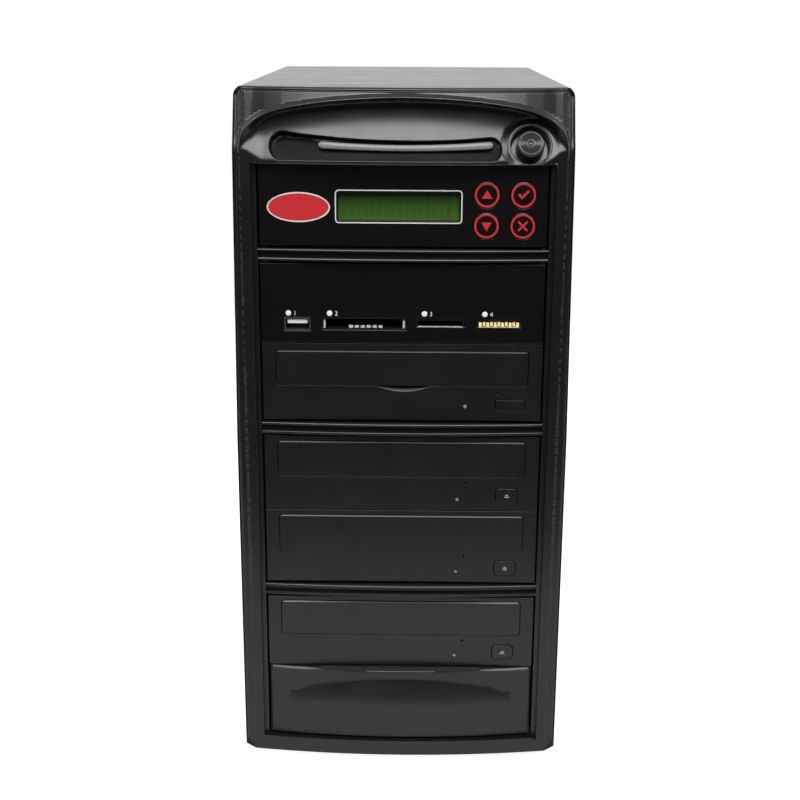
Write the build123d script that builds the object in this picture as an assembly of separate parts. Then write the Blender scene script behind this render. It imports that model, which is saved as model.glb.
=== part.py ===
from build123d import *
import math
import os

# A free-standing tower with seven 5.25-inch bays: control panel, card reader, four disc
# drives and a filler panel, in a steel chassis behind a moulded bezel. Millimetres,
# +Z up, front towards -Y, origin on the floor under the middle of the tower.

# Overall sizes
depth = 291.0  # crown of the bezel to the rear screw heads
height = 375.0  # floor to the top of the bezel
bezel_width = 177.0  # widest, from mid height down
bezel_top_width = 173.0
bezel_depth = 25.0  # crown to the back edge
cover_width = 172.6
cover_corner = 2.5

# Bays
bay_pitch = 42.5
bar_zone = 8.7  # height left for each cross bar
opening_bottom = 13.7
bays_over_bar = (5, 3, 1)  # each of these bays stands on a cross bar
face_width = 148.0
face_height = 42.0
face_setback = 9.0  # bezel crown to the front of the drive faceplates

# Sheet and moulding thicknesses
cover_steel = 0.8
steel = 1.0
wall = 2.4  # bezel moulding
panel_wall = 3.0
drive_face_wall = 5.0
door_plate = 3.0
door_web = 2.5  # wall on the door's back that clips to the tray

# Clearances
gap = 0.3  # between pieces that move or slide together
face_gap = 1.0  # faceplate to bay opening, each side
face_lead = 0.5  # the bars and the filler panel start this far ahead of the faceplates
screw_gap = 0.25
drive_screw = 1.4  # shank radius
cover_screw = 1.6
fan_screw = 1.9

# Bezel form
crown_rise = 6.0  # how far the crown stands ahead of the side creases
cheek_step = 2.2  # the outer cheeks stand back from the inner front
cheek_width = 5.7
band_set_back = 1.5  # the top band's crown stands behind the lip's
corner_radius = 4.5
inner_bottom = 4.2
web = 1.6
web_setback = 4.0
cheek_bottom = 6.0
cheek_lean = 0.2  # how steeply the cheeks fall back, mm per mm
side_flat_top = 190.0  # above this height the sides draw in
top_corner = 5.0
rebate = 2.5  # step round the bay opening
bar_gap = 1.1
bar_rib = 1.6
bar_rise = 3.3
bar_channel = 3.0

# Arched recess, groove and power button in the bezel's top
recess_bottom = 338.0
recess_apex = 370.2
recess_shoulder = 364.5
recess_shoulder_x = 61.0
recess_side = 350.0
recess_half = 82.4
recess_corner = (76.0, 359.0)
recess_tilt = 27.0
recess_depth = 9.5  # crown to the upright back wall of the recess
foot_lead = 0.3  # a sloping floor starts this far ahead of the face it is cut in
groove_bottom = 338.8
groove_left = -68.0
groove_right = 49.7
groove_left_radius = 7.3
groove_right_radius = 6.0
groove_mid_top = 349.1
groove_slope = 1.0
trim_half = 44.0
trim_height = 3.0
trim_end_z = 345.4
trim_sag = 1.5
trim_depth = 2.3
button_x = 64.0
button_z = 347.0
button_radius = 6.95
button_proud = 3.0
button_bevel = 1.0
button_travel = 2.0
well_radius = 10.05
well_depth = 2.5
guide_length = 5.5
round_sides = 24  # flats on small round pieces
corner_sides = 3  # flats on small rounded corners
switch_size = 12.0
switch_height = 6.0
switch_gap = 0.1

# Drives
drive_width = 146.0
drive_height = 41.3
drive_length = 165.0
door_width = 133.0
door_low = 19.5
door_high = 39.4
first_door_low = 19.5
first_door_high = 38.4
tray_cover = 2.0  # how far the door reaches past the tray, each side
tray_length = 149.5
tray_low = 23.0
tray_thick = 5.0
tray_rim = 3.5  # ahead of the disc seat
disc_radius = 61.0
disc_sides = 40
small_disc_radius = 41.0
small_disc_sides = 32
disc_seat = 3.0
small_disc_seat = 3.9
pickup_width = 36.0
tray_stop = 5.0  # bar across the tray's end, under the pickup
tray_stop_thick = 1.4

# Chassis
foot_height = 5.0
foot_radius = 9.0
rear_lip = 11.0
screw_proud = 2.0
flange = 10.0
cage_length = 128.0
drive_hole_height = 10.0
drive_hole_y = (52.0, 131.3)  # from the front of the faceplate
panel_hole_y = 52.0

# Power supply and rear fan
psu_width = 125.0
psu_height = 63.5
psu_depth = 100.0
psu_bottom = 300.5
fan_size = 80.0
fan_thick = 25.0
fan_z = 200.0
fan_bore = 38.0
fan_shaft = 2.0
fan_hole_spacing = 71.5
blade_count = 7
mesh_rings = 2  # rings of six-sided holes round the middle one
mesh_pitch = 14.6
mesh_hole = 6.4
vent_rows = 8
vent_bottom = 60.0
vent_pitch = 8.0
vent_height = 3.0

# Derived planes
front_y = -depth / 2
back_y = depth / 2
face_y = front_y + face_setback
bezel_back = front_y + bezel_depth
rear_y = back_y - screw_proud  # outer face of the cover's rear lips
inner_half = bezel_width / 2 - cheek_width
pan_top = foot_height + steel
cover_top = height - 0.6
cover_half = cover_width / 2
chassis_half = cover_half - cover_steel - gap
rear_panel_y = rear_y - cover_steel - steel
opening_half = face_width / 2 + face_gap
cage_half = drive_width / 2 + gap
case_front = face_y + drive_face_wall
tray_width = door_width - 2 * tray_cover
tilt = math.radians(recess_tilt)


def bay_bottom(number):
    """Height of a bay's lower edge; bay 7 is the lowest."""
    bars_below = sum(1 for bay in bays_over_bar if bay >= number)
    return opening_bottom + (7 - number) * bay_pitch + bars_below * bar_zone


opening_top = bay_bottom(1) + bay_pitch
panel_foot = (bay_pitch - face_height) / 2


# ---- shapes used by many pieces ----

def block(x, y, z):
    """Box between two values on each axis."""
    centre = Pos((x[0] + x[1]) / 2, (y[0] + y[1]) / 2, (z[0] + z[1]) / 2)
    return centre * Box(x[1] - x[0], y[1] - y[0], z[1] - z[0])


def pair(x, y, z):
    """A block and its mirror image on the other side."""
    return block(x, y, z) + block((-x[1], -x[0]), y, z)


def rod(x, z, radius, y):
    """Cylinder along Y."""
    return Pos(x, (y[0] + y[1]) / 2, z) * Rot(90, 0, 0) * Cylinder(radius, y[1] - y[0])


def cross_rod(y, z, radius, x):
    """Cylinder along X."""
    return Pos((x[0] + x[1]) / 2, y, z) * Rot(0, 90, 0) * Cylinder(radius, x[1] - x[0])


def prism(x, z, radius, y, sides=6):
    """Many-sided bar along Y, its corners on the radius."""
    return slab(Pos(x, z) * RegularPolygon(radius, sides), y)


def cross_prism(y, z, radius, x, sides=6):
    """Many-sided bar along X."""
    outline = Pos(y, z) * RegularPolygon(radius, sides)
    return extrude(Plane.YZ.offset(x[0]) * outline, amount=x[1] - x[0])


def slab(outline, y):
    """Front-view outline given thickness between two depths."""
    return extrude(Plane.XZ.offset(-y[1]) * outline, amount=y[1] - y[0])


def corner_points(centre, radius, start, sides=corner_sides):
    """Points of a quarter turn round a centre, from a starting angle in degrees."""
    angles = [math.radians(start + 90 * step / sides) for step in range(sides + 1)]
    return [(centre[0] + radius * math.cos(a), centre[1] + radius * math.sin(a)) for a in angles]


def rounded(x, z, radius):
    """Rectangle with rounded corners in the front view."""
    right, left = x[1] - radius, x[0] + radius
    top, low = z[1] - radius, z[0] + radius
    centres = [(right, top), (left, top), (left, low), (right, low)]
    points = []
    for turn, centre in enumerate(centres):
        points += corner_points(centre, radius, 90 * turn)
    return make_face(Polyline(*points, close=True))


def save(name, *solids):
    """One file for a node; its solids stay separate."""
    shape = solids[0] if len(solids) == 1 else Compound(children=list(solids))
    export_step(shape, f"parts/{name}.step")


# ---- front bezel ----

def bow(rise, half, y_crown):
    """Front curve in plan: through the crown and two points set back at the sides."""
    return ThreePointArc((-half, y_crown + rise), (0, y_crown), (half, y_crown + rise))


def bowed_front(rise, half, y_crown, y_back, z):
    """Solid with a bowed front and a flat back."""
    front = bow(rise, half, y_crown)
    back = Polyline((half, y_crown + rise), (half, y_back), (-half, y_back), (-half, y_crown + rise))
    face = make_face([front, back])
    return extrude(Pos(0, 0, z[0]) * face, amount=z[1] - z[0])


def set_back(x, rise, half):
    """How far a bowed front lies behind its crown at a distance from the middle."""
    radius = (half**2 + rise**2) / (2 * rise)
    return radius - math.sqrt(radius**2 - x**2)


def drawn_side():
    """Space left of the bezel's right side, which leans in towards the top."""
    half = bezel_width / 2
    y_edge = front_y + crown_rise + cheek_step
    y_ahead = y_edge - cheek_lean * half
    corner = corner_points((half - corner_radius, y_edge + corner_radius), corner_radius, -90, 4)
    plan = make_face(
        Polyline(
            *corner,
            (half, bezel_back),
            (-bezel_width, bezel_back),
            (-bezel_width, y_ahead),
            (0, y_ahead),
            close=True,
        )
    )
    low = extrude(Pos(0, 0, cheek_bottom) * plan, amount=side_flat_top - cheek_bottom)
    lean = Vector(-(bezel_width - bezel_top_width) / 2, 0, height - side_flat_top)
    high = extrude(Pos(0, 0, side_flat_top) * plan, amount=lean.length, dir=lean.normalized())
    return low + high


def outer_frame():
    """Top band and cheeks: bowed in plan, with sides that draw in towards the top."""
    right = drawn_side()
    half = bezel_width / 2
    bow_rise = crown_rise + cheek_step - band_set_back
    front = bowed_front(bow_rise, half, front_y + band_set_back, bezel_back, (cheek_bottom, height))
    top_half = bezel_top_width / 2
    corners = rounded((-top_half, top_half), (height - 2 * top_half, height), top_corner)
    corners += Pos(0, height / 2 - top_corner) * Rectangle(2 * bezel_width, height)
    return front & right & mirror(right, Plane.YZ) & slab(corners, (front_y - 1, bezel_back + 1))


def recess_outline(grow):
    """Arched outline of the recess in the front view."""
    half = recess_half + grow
    shoulder = (recess_shoulder_x + grow / 2, recess_shoulder + grow)
    corner = (recess_corner[0] + grow, recess_corner[1] + grow / 2)
    base = Polyline(
        (-half, recess_side), (-half, recess_bottom - grow), (half, recess_bottom - grow), (half, recess_side)
    )
    right = ThreePointArc((half, recess_side), corner, shoulder)
    top = ThreePointArc(shoulder, (0, recess_apex + grow), (-shoulder[0], shoulder[1]))
    left = ThreePointArc((-shoulder[0], shoulder[1]), (-corner[0], corner[1]), (-half, recess_side))
    return make_face([base, right, top, left])


def sloping_space(z_foot, slope, y_shift, reach, rise=crown_rise, half=inner_half, y_crown=front_y):
    """Space ahead of a bowed floor that leans back from its foot."""
    wide = 1.2 * half
    wide_rise = set_back(wide, rise, half)
    front = bow(wide_rise, wide, y_crown + y_shift)
    y_side = y_crown + y_shift + wide_rise
    y_far = y_crown - 60
    rim = Polyline((wide, y_side), (wide, y_far), (-wide, y_far), (-wide, y_side))
    face = Pos(0, 0, z_foot) * make_face([front, rim])
    lean = Vector(0, slope, 1)
    return extrude(face, amount=reach * lean.length, dir=lean.normalized())


def recess_space(grow):
    """The arched recess; grow gives the larger space that its moulded wall fills."""
    z_foot = recess_bottom - 3 * grow
    slope = math.tan(tilt)
    floor = sloping_space(z_foot, slope, grow - 3 * grow * slope - foot_lead, 60)
    back = sloping_space(recess_bottom - 20, 0.0, recess_depth + grow, 60)
    return slab(recess_outline(grow), (front_y - 12, bezel_back)) & floor & back


def groove_outline(grow):
    """Slot-shaped groove with a sagging top edge and a larger left end."""
    low = groove_bottom - grow
    left = groove_left + groove_left_radius
    right = groove_right - groove_right_radius
    left_top = groove_bottom + 2 * groove_left_radius + grow
    right_top = groove_bottom + 2 * groove_right_radius + grow
    base = Line((left, low), (right, low))
    right_end = ThreePointArc((right, low), (groove_right + grow, (low + right_top) / 2), (right, right_top))
    top = ThreePointArc((right, right_top), (0, groove_mid_top + grow), (left, left_top))
    left_end = ThreePointArc((left, left_top), (groove_left - grow, (low + left_top) / 2), (left, low))
    return make_face([base, right_end, top, left_end])


def groove_space(grow):
    """The groove; its floor leans back faster than the recess floor."""
    lead = (groove_bottom - recess_bottom) * math.tan(tilt) - 2 * foot_lead
    z_foot = groove_bottom - 3 * grow
    floor = sloping_space(z_foot, groove_slope, lead + grow - 3 * grow * groove_slope, 30)
    return slab(groove_outline(grow), (front_y - 12, bezel_back)) & floor


def button_plane():
    """Plane on the recess floor at the power button, facing out of the bezel."""
    y = front_y + set_back(button_x, crown_rise, inner_half) - foot_lead
    y += (button_z - recess_bottom) * math.tan(tilt)
    return Plane(
        origin=(button_x, y, button_z), x_dir=(1, 0, 0), z_dir=(0, -math.cos(tilt), math.sin(tilt))
    )


def along_button(radius, low, high):
    """Many-sided bar on the power button's axis; heights are measured out of the bezel."""
    return extrude(button_plane().offset(low) * RegularPolygon(radius, round_sides), amount=high - low)


def cross_bar(z_low):
    """Bar between two bays: two bowed ribs with a channel between."""
    low = z_low + bar_gap
    high = z_low + bar_zone - bar_gap
    y_crown = face_y - bar_rise - face_lead
    bar = bowed_front(bar_rise, opening_half, y_crown, case_front - face_lead, (low, high))
    behind = bowed_front(
        bar_rise, opening_half, y_crown + bar_channel, case_front, (low + bar_rib, high - bar_rib)
    )
    channel = block(
        (-opening_half, opening_half), (y_crown, case_front), (low + bar_rib, high - bar_rib)
    )
    return bar - (channel - behind)


def front_bezel():
    collar = opening_half + wall
    body = outer_frame()
    body += bowed_front(crown_rise, inner_half, front_y, bezel_back, (inner_bottom, recess_side))
    hollow = bowed_front(
        crown_rise, inner_half, front_y + 1.5 + wall, bezel_back, (cheek_bottom + wall, height - wall)
    )
    hollow += block(
        (-bezel_top_width / 2 + wall, bezel_top_width / 2 - wall),
        (front_y + crown_rise + cheek_step + wall + 2, bezel_back),
        (cheek_bottom + wall, height - wall),
    )
    hollow -= block((-collar, collar), (front_y, bezel_back), (opening_bottom - wall, opening_top + wall))
    tube = along_button(well_radius + wall, -well_depth - guide_length, 0)
    walls = (recess_space(wall) + groove_space(wall) + tube) & body
    body = body - hollow + walls
    body -= groove_space(0)
    body -= recess_space(0)
    body -= along_button(well_radius, -well_depth, 20)
    body -= along_button(button_radius + gap, -well_depth - guide_length - 3, 0)
    body -= along_button(switch_size * 0.75, -well_depth - guide_length - 25, -well_depth - guide_length)
    low = opening_bottom - 0.4
    high = opening_top + 0.4
    body -= block((-opening_half, opening_half), (front_y - 1, bezel_back + 1), (low, high))
    step = opening_half + rebate
    body -= block((-step, step), (front_y - 1, face_y - face_lead), (low, high - gap))
    for bay in bays_over_bar:
        body += cross_bar(bay_bottom(bay) - bar_zone)
    for z in stiffener_heights():
        x = (collar - 0.5, bezel_top_width / 2 - wall + 0.5)
        body += pair(x, (face_y + web_setback, bezel_back), (z, z + web))
    return body


def stiffener_heights():
    """One web beside each bay, between the collar and the outer wall."""
    return [bay_bottom(bay) + bay_pitch / 2 for bay in range(1, 8)]


def slot_trim():
    """Grey bar with round ends that lies in the groove and sags with it."""
    low_z = trim_end_z
    high_z = trim_end_z + trim_height
    nose = (trim_half + trim_height / 2, trim_end_z + trim_height / 2)
    low = ThreePointArc((-trim_half, low_z), (0, low_z - trim_sag), (trim_half, low_z))
    right = ThreePointArc((trim_half, low_z), nose, (trim_half, high_z))
    top = ThreePointArc((trim_half, high_z), (0, high_z - trim_sag), (-trim_half, high_z))
    left = ThreePointArc((-trim_half, high_z), (-nose[0], nose[1]), (-trim_half, low_z))
    band = slab(make_face([low, right, top, left]), (front_y, bezel_back))
    seat = (low_z - trim_sag - groove_bottom) * groove_slope
    lead = (groove_bottom - recess_bottom) * math.tan(tilt) - 2 * foot_lead
    back = sloping_space(recess_bottom, 0.0, lead + seat - 0.1, 30)
    front = sloping_space(recess_bottom, 0.0, lead + seat - 0.1 - trim_depth, 30)
    return (band & back) - front


def power_button():
    """Cap with a bevelled face; its skirt slides in the guide."""
    foot = -well_depth - guide_length + button_travel
    skirt = along_button(button_radius, foot, button_proud - button_bevel)
    rim = button_plane().offset(button_proud - button_bevel) * RegularPolygon(button_radius, round_sides)
    return skirt + extrude(rim, amount=button_bevel, taper=45)


def power_switch():
    """Square switch fixed behind the button's guide, on four terminals."""
    top = -well_depth - guide_length - switch_gap
    body = Box(switch_size, switch_size, switch_height, align=(Align.CENTER, Align.CENTER, Align.MAX))
    for x in (-3.5, 3.5):
        for y in (-2.5, 2.5):
            body += Pos(x, y, -switch_height) * Box(0.8, 1.6, 4.0, align=(Align.CENTER, Align.CENTER, Align.MAX))
    return button_plane().offset(top) * body


# ---- panels in the bays ----

def panel_blank(bay):
    """Faceplate of one bay with two arms that the cage screws hold."""
    z = bay_bottom(bay) + panel_foot
    half = face_width / 2
    plate = block((-half, half), (face_y, face_y + panel_wall), (z, z + face_height))
    arm = drive_width / 2
    arms = pair((arm - 1.6, arm), (face_y + panel_wall, face_y + panel_hole_y + 8), (z + 5, z + 36))
    screw_axis = (face_y + panel_hole_y, z + drive_hole_height)
    return plate + arms - cross_prism(*screw_axis, drive_screw + screw_gap, (-arm - 1, arm + 1))


key_centres = {
    "key_up": (42.8, 26.9),
    "key_enter": (61.4, 26.9),
    "key_down": (42.8, 11.1),
    "key_cancel": (61.4, 11.1),
}
key_radius = 6.75
key_travel = 0.5
key_proud = 0.4
switch_rise = 2.2
lcd_x = (-33.6, 29.0)
lcd_z = (13.3, 27.9)
board_y = face_y + 12.0
led_radius = 1.5


def control_panel():
    """Bay 1: display window and four round key holes."""
    z = bay_bottom(1)
    plate = panel_blank(1)
    window = rounded(lcd_x, (z + lcd_z[0], z + lcd_z[1]), 1.0)
    plate -= slab(window, (face_y - 1, face_y + panel_wall + 1))
    for x, rise in key_centres.values():
        hole = (face_y - 1, face_y + panel_wall + 1)
        plate -= prism(x, z + rise, key_radius + gap, hole, round_sides)
    return plate


def key(name):
    """Round cap with two ears behind the panel and a square stem to its switch."""
    x, rise = key_centres[name]
    z = bay_bottom(1) + rise
    ear_y = face_y + panel_wall + gap
    cap = prism(x, z, key_radius, (face_y - key_proud, ear_y + 0.8), round_sides)
    ears = block((x - 2, x + 2), (ear_y, ear_y + 0.8), (z - key_radius - 0.8, z + key_radius + 0.8))
    stem_y = (ear_y + 0.5, board_y - switch_rise - key_travel - gap)
    stem = block((x - 1.6, x + 1.6), stem_y, (z - 1.6, z + 1.6))
    return cap + ears + stem


def lcd_module():
    """Display: folded metal frame on its own board, with four legs to the control board."""
    z = bay_bottom(1)
    frame_y = face_y + panel_wall + 0.2
    frame = block(
        (lcd_x[0] - 3, lcd_x[1] + 3), (frame_y, frame_y + 5), (z + lcd_z[0] - 4, z + lcd_z[1] + 4)
    )
    frame -= block(
        (lcd_x[0] + 0.2, lcd_x[1] - 0.2), (frame_y - 1, frame_y + 3), (z + lcd_z[0] + 0.2, z + lcd_z[1] - 0.2)
    )
    middle = (lcd_x[0] + lcd_x[1]) / 2
    board = block((middle - 40, middle + 40), (frame_y + 5, frame_y + 6.6), (z + 3.5, z + 37.5))
    for rise in (z + 5, z + 33):
        board += pair((34, 37), (frame_y + 6.6, board_y), (rise, rise + 3)).moved(Pos(middle, 0, 0))
    return frame + board


def lcd_glass():
    """Glass cell in the display frame's window."""
    z = bay_bottom(1)
    y = face_y + panel_wall + 0.4
    return block(
        (lcd_x[0] + 0.4, lcd_x[1] - 0.4), (y, y + 2.8), (z + lcd_z[0] + 0.4, z + lcd_z[1] - 0.4)
    )


def control_board():
    """Board behind the display, with a tact switch under each key."""
    z = bay_bottom(1)
    board = block((-70.5, 70.5), (board_y, board_y + 1.6), (z + 2.5, z + 38.5))
    for x, rise in key_centres.values():
        board += block((x - 3, x + 3), (board_y - switch_rise, board_y), (z + rise - 3, z + rise + 3))
    board += block((-30, 20), (board_y + 1.6, board_y + 4.6), (z + 8, z + 20))
    board += block((35, 60), (board_y + 1.6, board_y + 10), (z + 4, z + 12))
    return board


# Card reader: each socket's mouth in x and in height above its bay's lower edge
socket_mouths = {
    "usb_socket": ((-62.1, -48.0), (6.4, 13.7)),
    "cf_socket": ((-42.3, 2.1), (7.0, 13.6)),
    "sd_socket": ((7.1, 32.6), (8.9, 13.2)),
    "ms_socket": ((39.0, 62.2), (8.9, 13.2)),
}
socket_depths = {"usb_socket": 14.0, "cf_socket": 32.0, "sd_socket": 26.0, "ms_socket": 26.0}
led_x = (-59.7, -38.1, 11.5, 43.1)
led_rise = 15.9
reader_board_rise = 3.6


def reader_panel():
    """Bay 2: four socket mouths, four indicator holes and two pinholes."""
    z = bay_bottom(2)
    plate = panel_blank(2)
    through = (face_y - 1, face_y + panel_wall + 1)
    for x, rise in socket_mouths.values():
        plate -= block(x, through, (z + rise[0], z + rise[1]))
    for x in led_x:
        plate -= prism(x, z + led_rise, led_radius, through, 8)
    return plate


def reader_leds():
    """Four light pipes pressed into the panel."""
    z = bay_bottom(2) + led_rise
    y = (face_y + 0.1, face_y + panel_wall + 2)
    return [prism(x, z, led_radius - 0.05, y, 8) for x in led_x]


def card_socket(name):
    """Open-fronted shell that stands on the reader board."""
    z = bay_bottom(2)
    x, rise = socket_mouths[name]
    y = face_y + panel_wall + 0.1
    shell = block(
        (x[0] - 1, x[1] + 1), (y, y + socket_depths[name]), (z + reader_board_rise + 1.6, z + rise[1] + 0.8)
    )
    space = (y - 1, y + socket_depths[name] - 2)
    return shell - block(x, space, (z + rise[0], z + rise[1]))


def usb_socket():
    """Metal shell with its contact tongue, flush with the panel."""
    z = bay_bottom(2)
    x, rise = socket_mouths["usb_socket"]
    low = z + rise[0] + 0.15
    high = z + rise[1] - 0.15
    y = (face_y + 0.3, face_y + panel_wall + socket_depths["usb_socket"])
    shell = slab(rounded((x[0] + 0.15, x[1] - 0.15), (low, high), 0.8), y)
    shell -= slab(rounded((x[0] + 0.75, x[1] - 0.75), (low + 0.6, high - 0.6), 0.5), (y[0] - 1, y[1] - 1))
    tongue = block((x[0] + 1.5, x[1] - 1.5), (y[0] + 1.2, y[1]), (low + 3.1, low + 5.2))
    foot = block(
        (x[0] + 1.5, x[1] - 1.5), (face_y + panel_wall + 1, y[1]), (z + reader_board_rise + 1.6, low + 0.3)
    )
    return shell + tongue + foot


def reader_board():
    """Board that carries the sockets, on two ledges of the panel arms."""
    z = bay_bottom(2) + reader_board_rise
    arm = drive_width / 2 - 1.6
    board = block((-arm + gap, arm - gap), (face_y + panel_wall + 0.1, face_y + 58), (z, z + 1.6))
    board += block((-20, 10), (face_y + 40, face_y + 55), (z + 1.6, z + 4))
    return board


filler_rise = 6.0
scoop_top = 38.5
scoop_end = 58.0
scoop_end_rise = 29.0
scoop_foot = 21.0
scoop_slope = 0.27


def scoop_space(grow):
    """Arched finger scoop with a floor that leans back from its foot."""
    z = bay_bottom(7)
    end = (scoop_end + grow, z + scoop_end_rise)
    arch = ThreePointArc(end, (0, z + scoop_top + grow), (-end[0], end[1]))
    low = z + scoop_foot - 3 * grow
    rim = Polyline((-end[0], end[1]), (-end[0] + 14, low), (end[0] - 14, low), end)
    y_crown = face_y - filler_rise - face_lead
    floor = sloping_space(
        low, scoop_slope, grow - 3 * grow * scoop_slope, 40, filler_rise, face_width / 2, y_crown
    )
    return slab(make_face([arch, rim]), (y_crown - 6, face_y + 8)) & floor


def filler_panel():
    """Bay 7: bowed blank with a finger scoop, hollow behind, held by two side arms."""
    z = bay_bottom(7) + panel_foot
    half = face_width / 2
    y_crown = face_y - filler_rise - face_lead
    body = bowed_front(filler_rise, half, y_crown, face_y + panel_wall, (z, z + face_height))
    inner = bowed_front(
        filler_rise, half - wall, y_crown + wall, face_y + panel_wall, (z + wall, z + face_height - wall)
    )
    body = body - inner + (scoop_space(wall) & body) - scoop_space(0)
    arm = drive_width / 2
    return body + pair((arm - 1.6, arm), (face_y, face_y + 30), (z + 8, z + 34))


# ---- optical drives ----

def drive_door_span(number):
    """Lower and upper edge of a drive's tray door above the bay."""
    if number == 1:
        return first_door_low, first_door_high
    return door_low, door_high


# Drive 1 has a wide eject button; the three like drives have a rounder one.
eject_span = {1: ((49.9, 65.1), (6.1, 11.7), 0.8), 2: ((51.5, 63.0), (4.9, 13.0), 2.0)}
indicator_place = {1: (33.6, 8.0), 2: (30.3, 6.3)}
pinhole_place = {1: (50.6, 15.8), 2: (34.5, 15.7)}
notch_x = 1.0
notch_width = 30.0
notch_depth = 3.4
notch_slope = 45.0


def drive_kind(number):
    """Drives 2 to 4 are one model."""
    return min(number, 2)


def drive_base(number):
    """Lower edge of the bay that holds a drive; drive 1 is in bay 3."""
    return bay_bottom(number + 2)


def drive_bezel(number):
    """Faceplate with door opening, eject button hole, indicator hole and pinhole."""
    z = drive_base(number)
    half = face_width / 2
    low, high = drive_door_span(number)
    y = (face_y, case_front)
    through = (y[0] - 1, y[1] + 1)
    plate = block((-half, half), y, (z + panel_foot, z + panel_foot + face_height))
    door = door_width / 2 + gap
    plate -= slab(rounded((-door, door), (z + low - gap, z + high + gap), 2.0), through)
    x, rise, radius = eject_span[drive_kind(number)]
    plate -= slab(
        rounded((x[0] - gap, x[1] + gap), (z + rise[0] - gap, z + rise[1] + gap), radius + gap), through
    )
    led = indicator_place[drive_kind(number)]
    pin = pinhole_place[drive_kind(number)]
    plate -= prism(led[0], z + led[1], 1.3, (y[0] - 1, y[0] + 3), 8)
    plate -= prism(pin[0], z + pin[1], 0.7, through, 8)
    if number == 1:
        plate -= finger_notch(z + low)
    return plate


def finger_notch(z):
    """Crescent under the first drive's door; its floor climbs as it goes in."""
    half = notch_width / 2
    climb = math.radians(notch_slope)
    sag = notch_depth * math.cos(climb)
    radius = (half**2 + sag**2) / (2 * sag)
    into = (0, math.cos(climb), math.sin(climb))
    foot = Plane(origin=(notch_x, face_y, z - notch_depth), x_dir=(1, 0, 0), z_dir=into)
    scoop = foot.offset(-4) * Pos(0, -radius) * RegularPolygon(radius, 60)
    reach = notch_depth / math.tan(climb)
    limit = block((notch_x - half, notch_x + half), (face_y - 1, face_y + reach), (z - 5, z + 1))
    return extrude(scoop, amount=14) & limit


def drive_door(number):
    """Door plate bevelled along its top edge, with a wall behind that holds the tray."""
    low, high = drive_door_span(number)
    z = drive_base(number)
    half = door_width / 2
    plate = slab(rounded((-half, half), (z + low, z + high), 1.7), (face_y - 0.4, face_y + door_plate))
    front = plate.faces().sort_by(Axis.Y)[0]
    plate = chamfer(front.edges().sort_by(Axis.Z)[-1], 0.7)
    web_y = (face_y + door_plate, face_y + door_plate + door_web)
    return plate + block((-tray_width / 2, tray_width / 2), web_y, (z + low + 1.0, z + high - 1.0))


def drive_eject(number):
    """Eject button with a retaining collar behind the faceplate."""
    z = drive_base(number)
    x, rise, radius = eject_span[drive_kind(number)]
    cap = slab(rounded(x, (z + rise[0], z + rise[1]), radius), (face_y - 0.5, case_front + 1.5))
    collar = block(
        (x[0] - 1.2, x[1] + 1.2), (case_front + gap, case_front + 1.5), (z + rise[0] - 1, z + rise[1] + 1)
    )
    return cap + collar


def drive_tray(number):
    """Loading tray: seats for two disc sizes and a slot for the pickup."""
    z = drive_base(number) + tray_low
    half = tray_width / 2
    y0 = face_y + door_plate + door_web
    tray = block((-half, half), (y0, y0 + tray_length), (z, z + tray_thick))
    centre_y = y0 + tray_rim + disc_radius
    top = z + tray_thick
    seat = Pos(0, centre_y, top - disc_seat) * RegularPolygon(disc_radius, disc_sides)
    small_seat = Pos(0, centre_y, top - small_disc_seat) * RegularPolygon(small_disc_radius, small_disc_sides)
    tray -= extrude(seat, amount=tray_thick)
    tray -= extrude(small_seat, amount=tray_thick)
    slot = Pos(0, centre_y) * RegularPolygon(pickup_width / 2, round_sides)
    slot += Pos(0, centre_y + tray_length / 2) * Rectangle(pickup_width, tray_length)
    tray -= extrude(Pos(0, 0, z - 1) * slot, amount=tray_thick + 2)
    end = y0 + tray_length
    return tray + block((-half, half), (end - tray_stop, end), (z, z + tray_stop_thick))


def drive_case(number):
    """Drive housing: sheet shell with deck and tray runners, open to the faceplate."""
    z = drive_base(number) + (bay_pitch - drive_height) / 2
    half = drive_width / 2
    y = (case_front, case_front + drive_length)
    shell = block((-half, half), y, (z, z + drive_height))
    shell -= block(
        (-half + steel, half - steel), (y[0] - 1, y[1] - steel), (z + steel, z + drive_height - steel)
    )
    runner_y = (y[0] + 4, y[1] - steel)
    tray_z = drive_base(number) + tray_low
    side = tray_width / 2 + gap
    shell += pair((side, half - steel), runner_y, (tray_z - 9, tray_z + tray_thick + 1.5))
    shell += pair((side - 4, side), runner_y, (tray_z - gap - 1.5, tray_z - gap))
    shell += pair(
        (side - 2, side), runner_y, (tray_z + tray_thick + gap, tray_z + tray_thick + 1.5)
    )
    shell += block((-side, side), runner_y, (tray_z - 9, tray_z - 7.5))
    for hole_y in drive_hole_y:
        screw_axis = (face_y + hole_y, z + drive_hole_height)
        shell -= cross_prism(*screw_axis, drive_screw + screw_gap, (-half - 1, half + 1))
    shell -= block((-60, -20), (y[1] - 2 * steel, y[1] + 1), (z + 4, z + 10))
    return shell


def drive_screws():
    """Pan-head screws through the cage into the drives and panel arms."""
    places = [(bay_bottom(1) + panel_foot, panel_hole_y), (bay_bottom(2) + panel_foot, panel_hole_y)]
    for number in range(1, 5):
        base = drive_base(number) + (bay_pitch - drive_height) / 2
        places += [(base, hole) for hole in drive_hole_y]
    outside = cage_half + steel
    screws = []
    for base, hole in places:
        for side in (-1, 1):
            ends = sorted((side * outside, side * (outside + 1.6)))
            shank = sorted((side * (outside - 4.0), side * (outside + 0.5)))
            head = cross_prism(face_y + hole, base + drive_hole_height, 2.75, ends)
            screws.append(head + cross_prism(face_y + hole, base + drive_hole_height, drive_screw, shank))
    return screws


# ---- chassis ----

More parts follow.
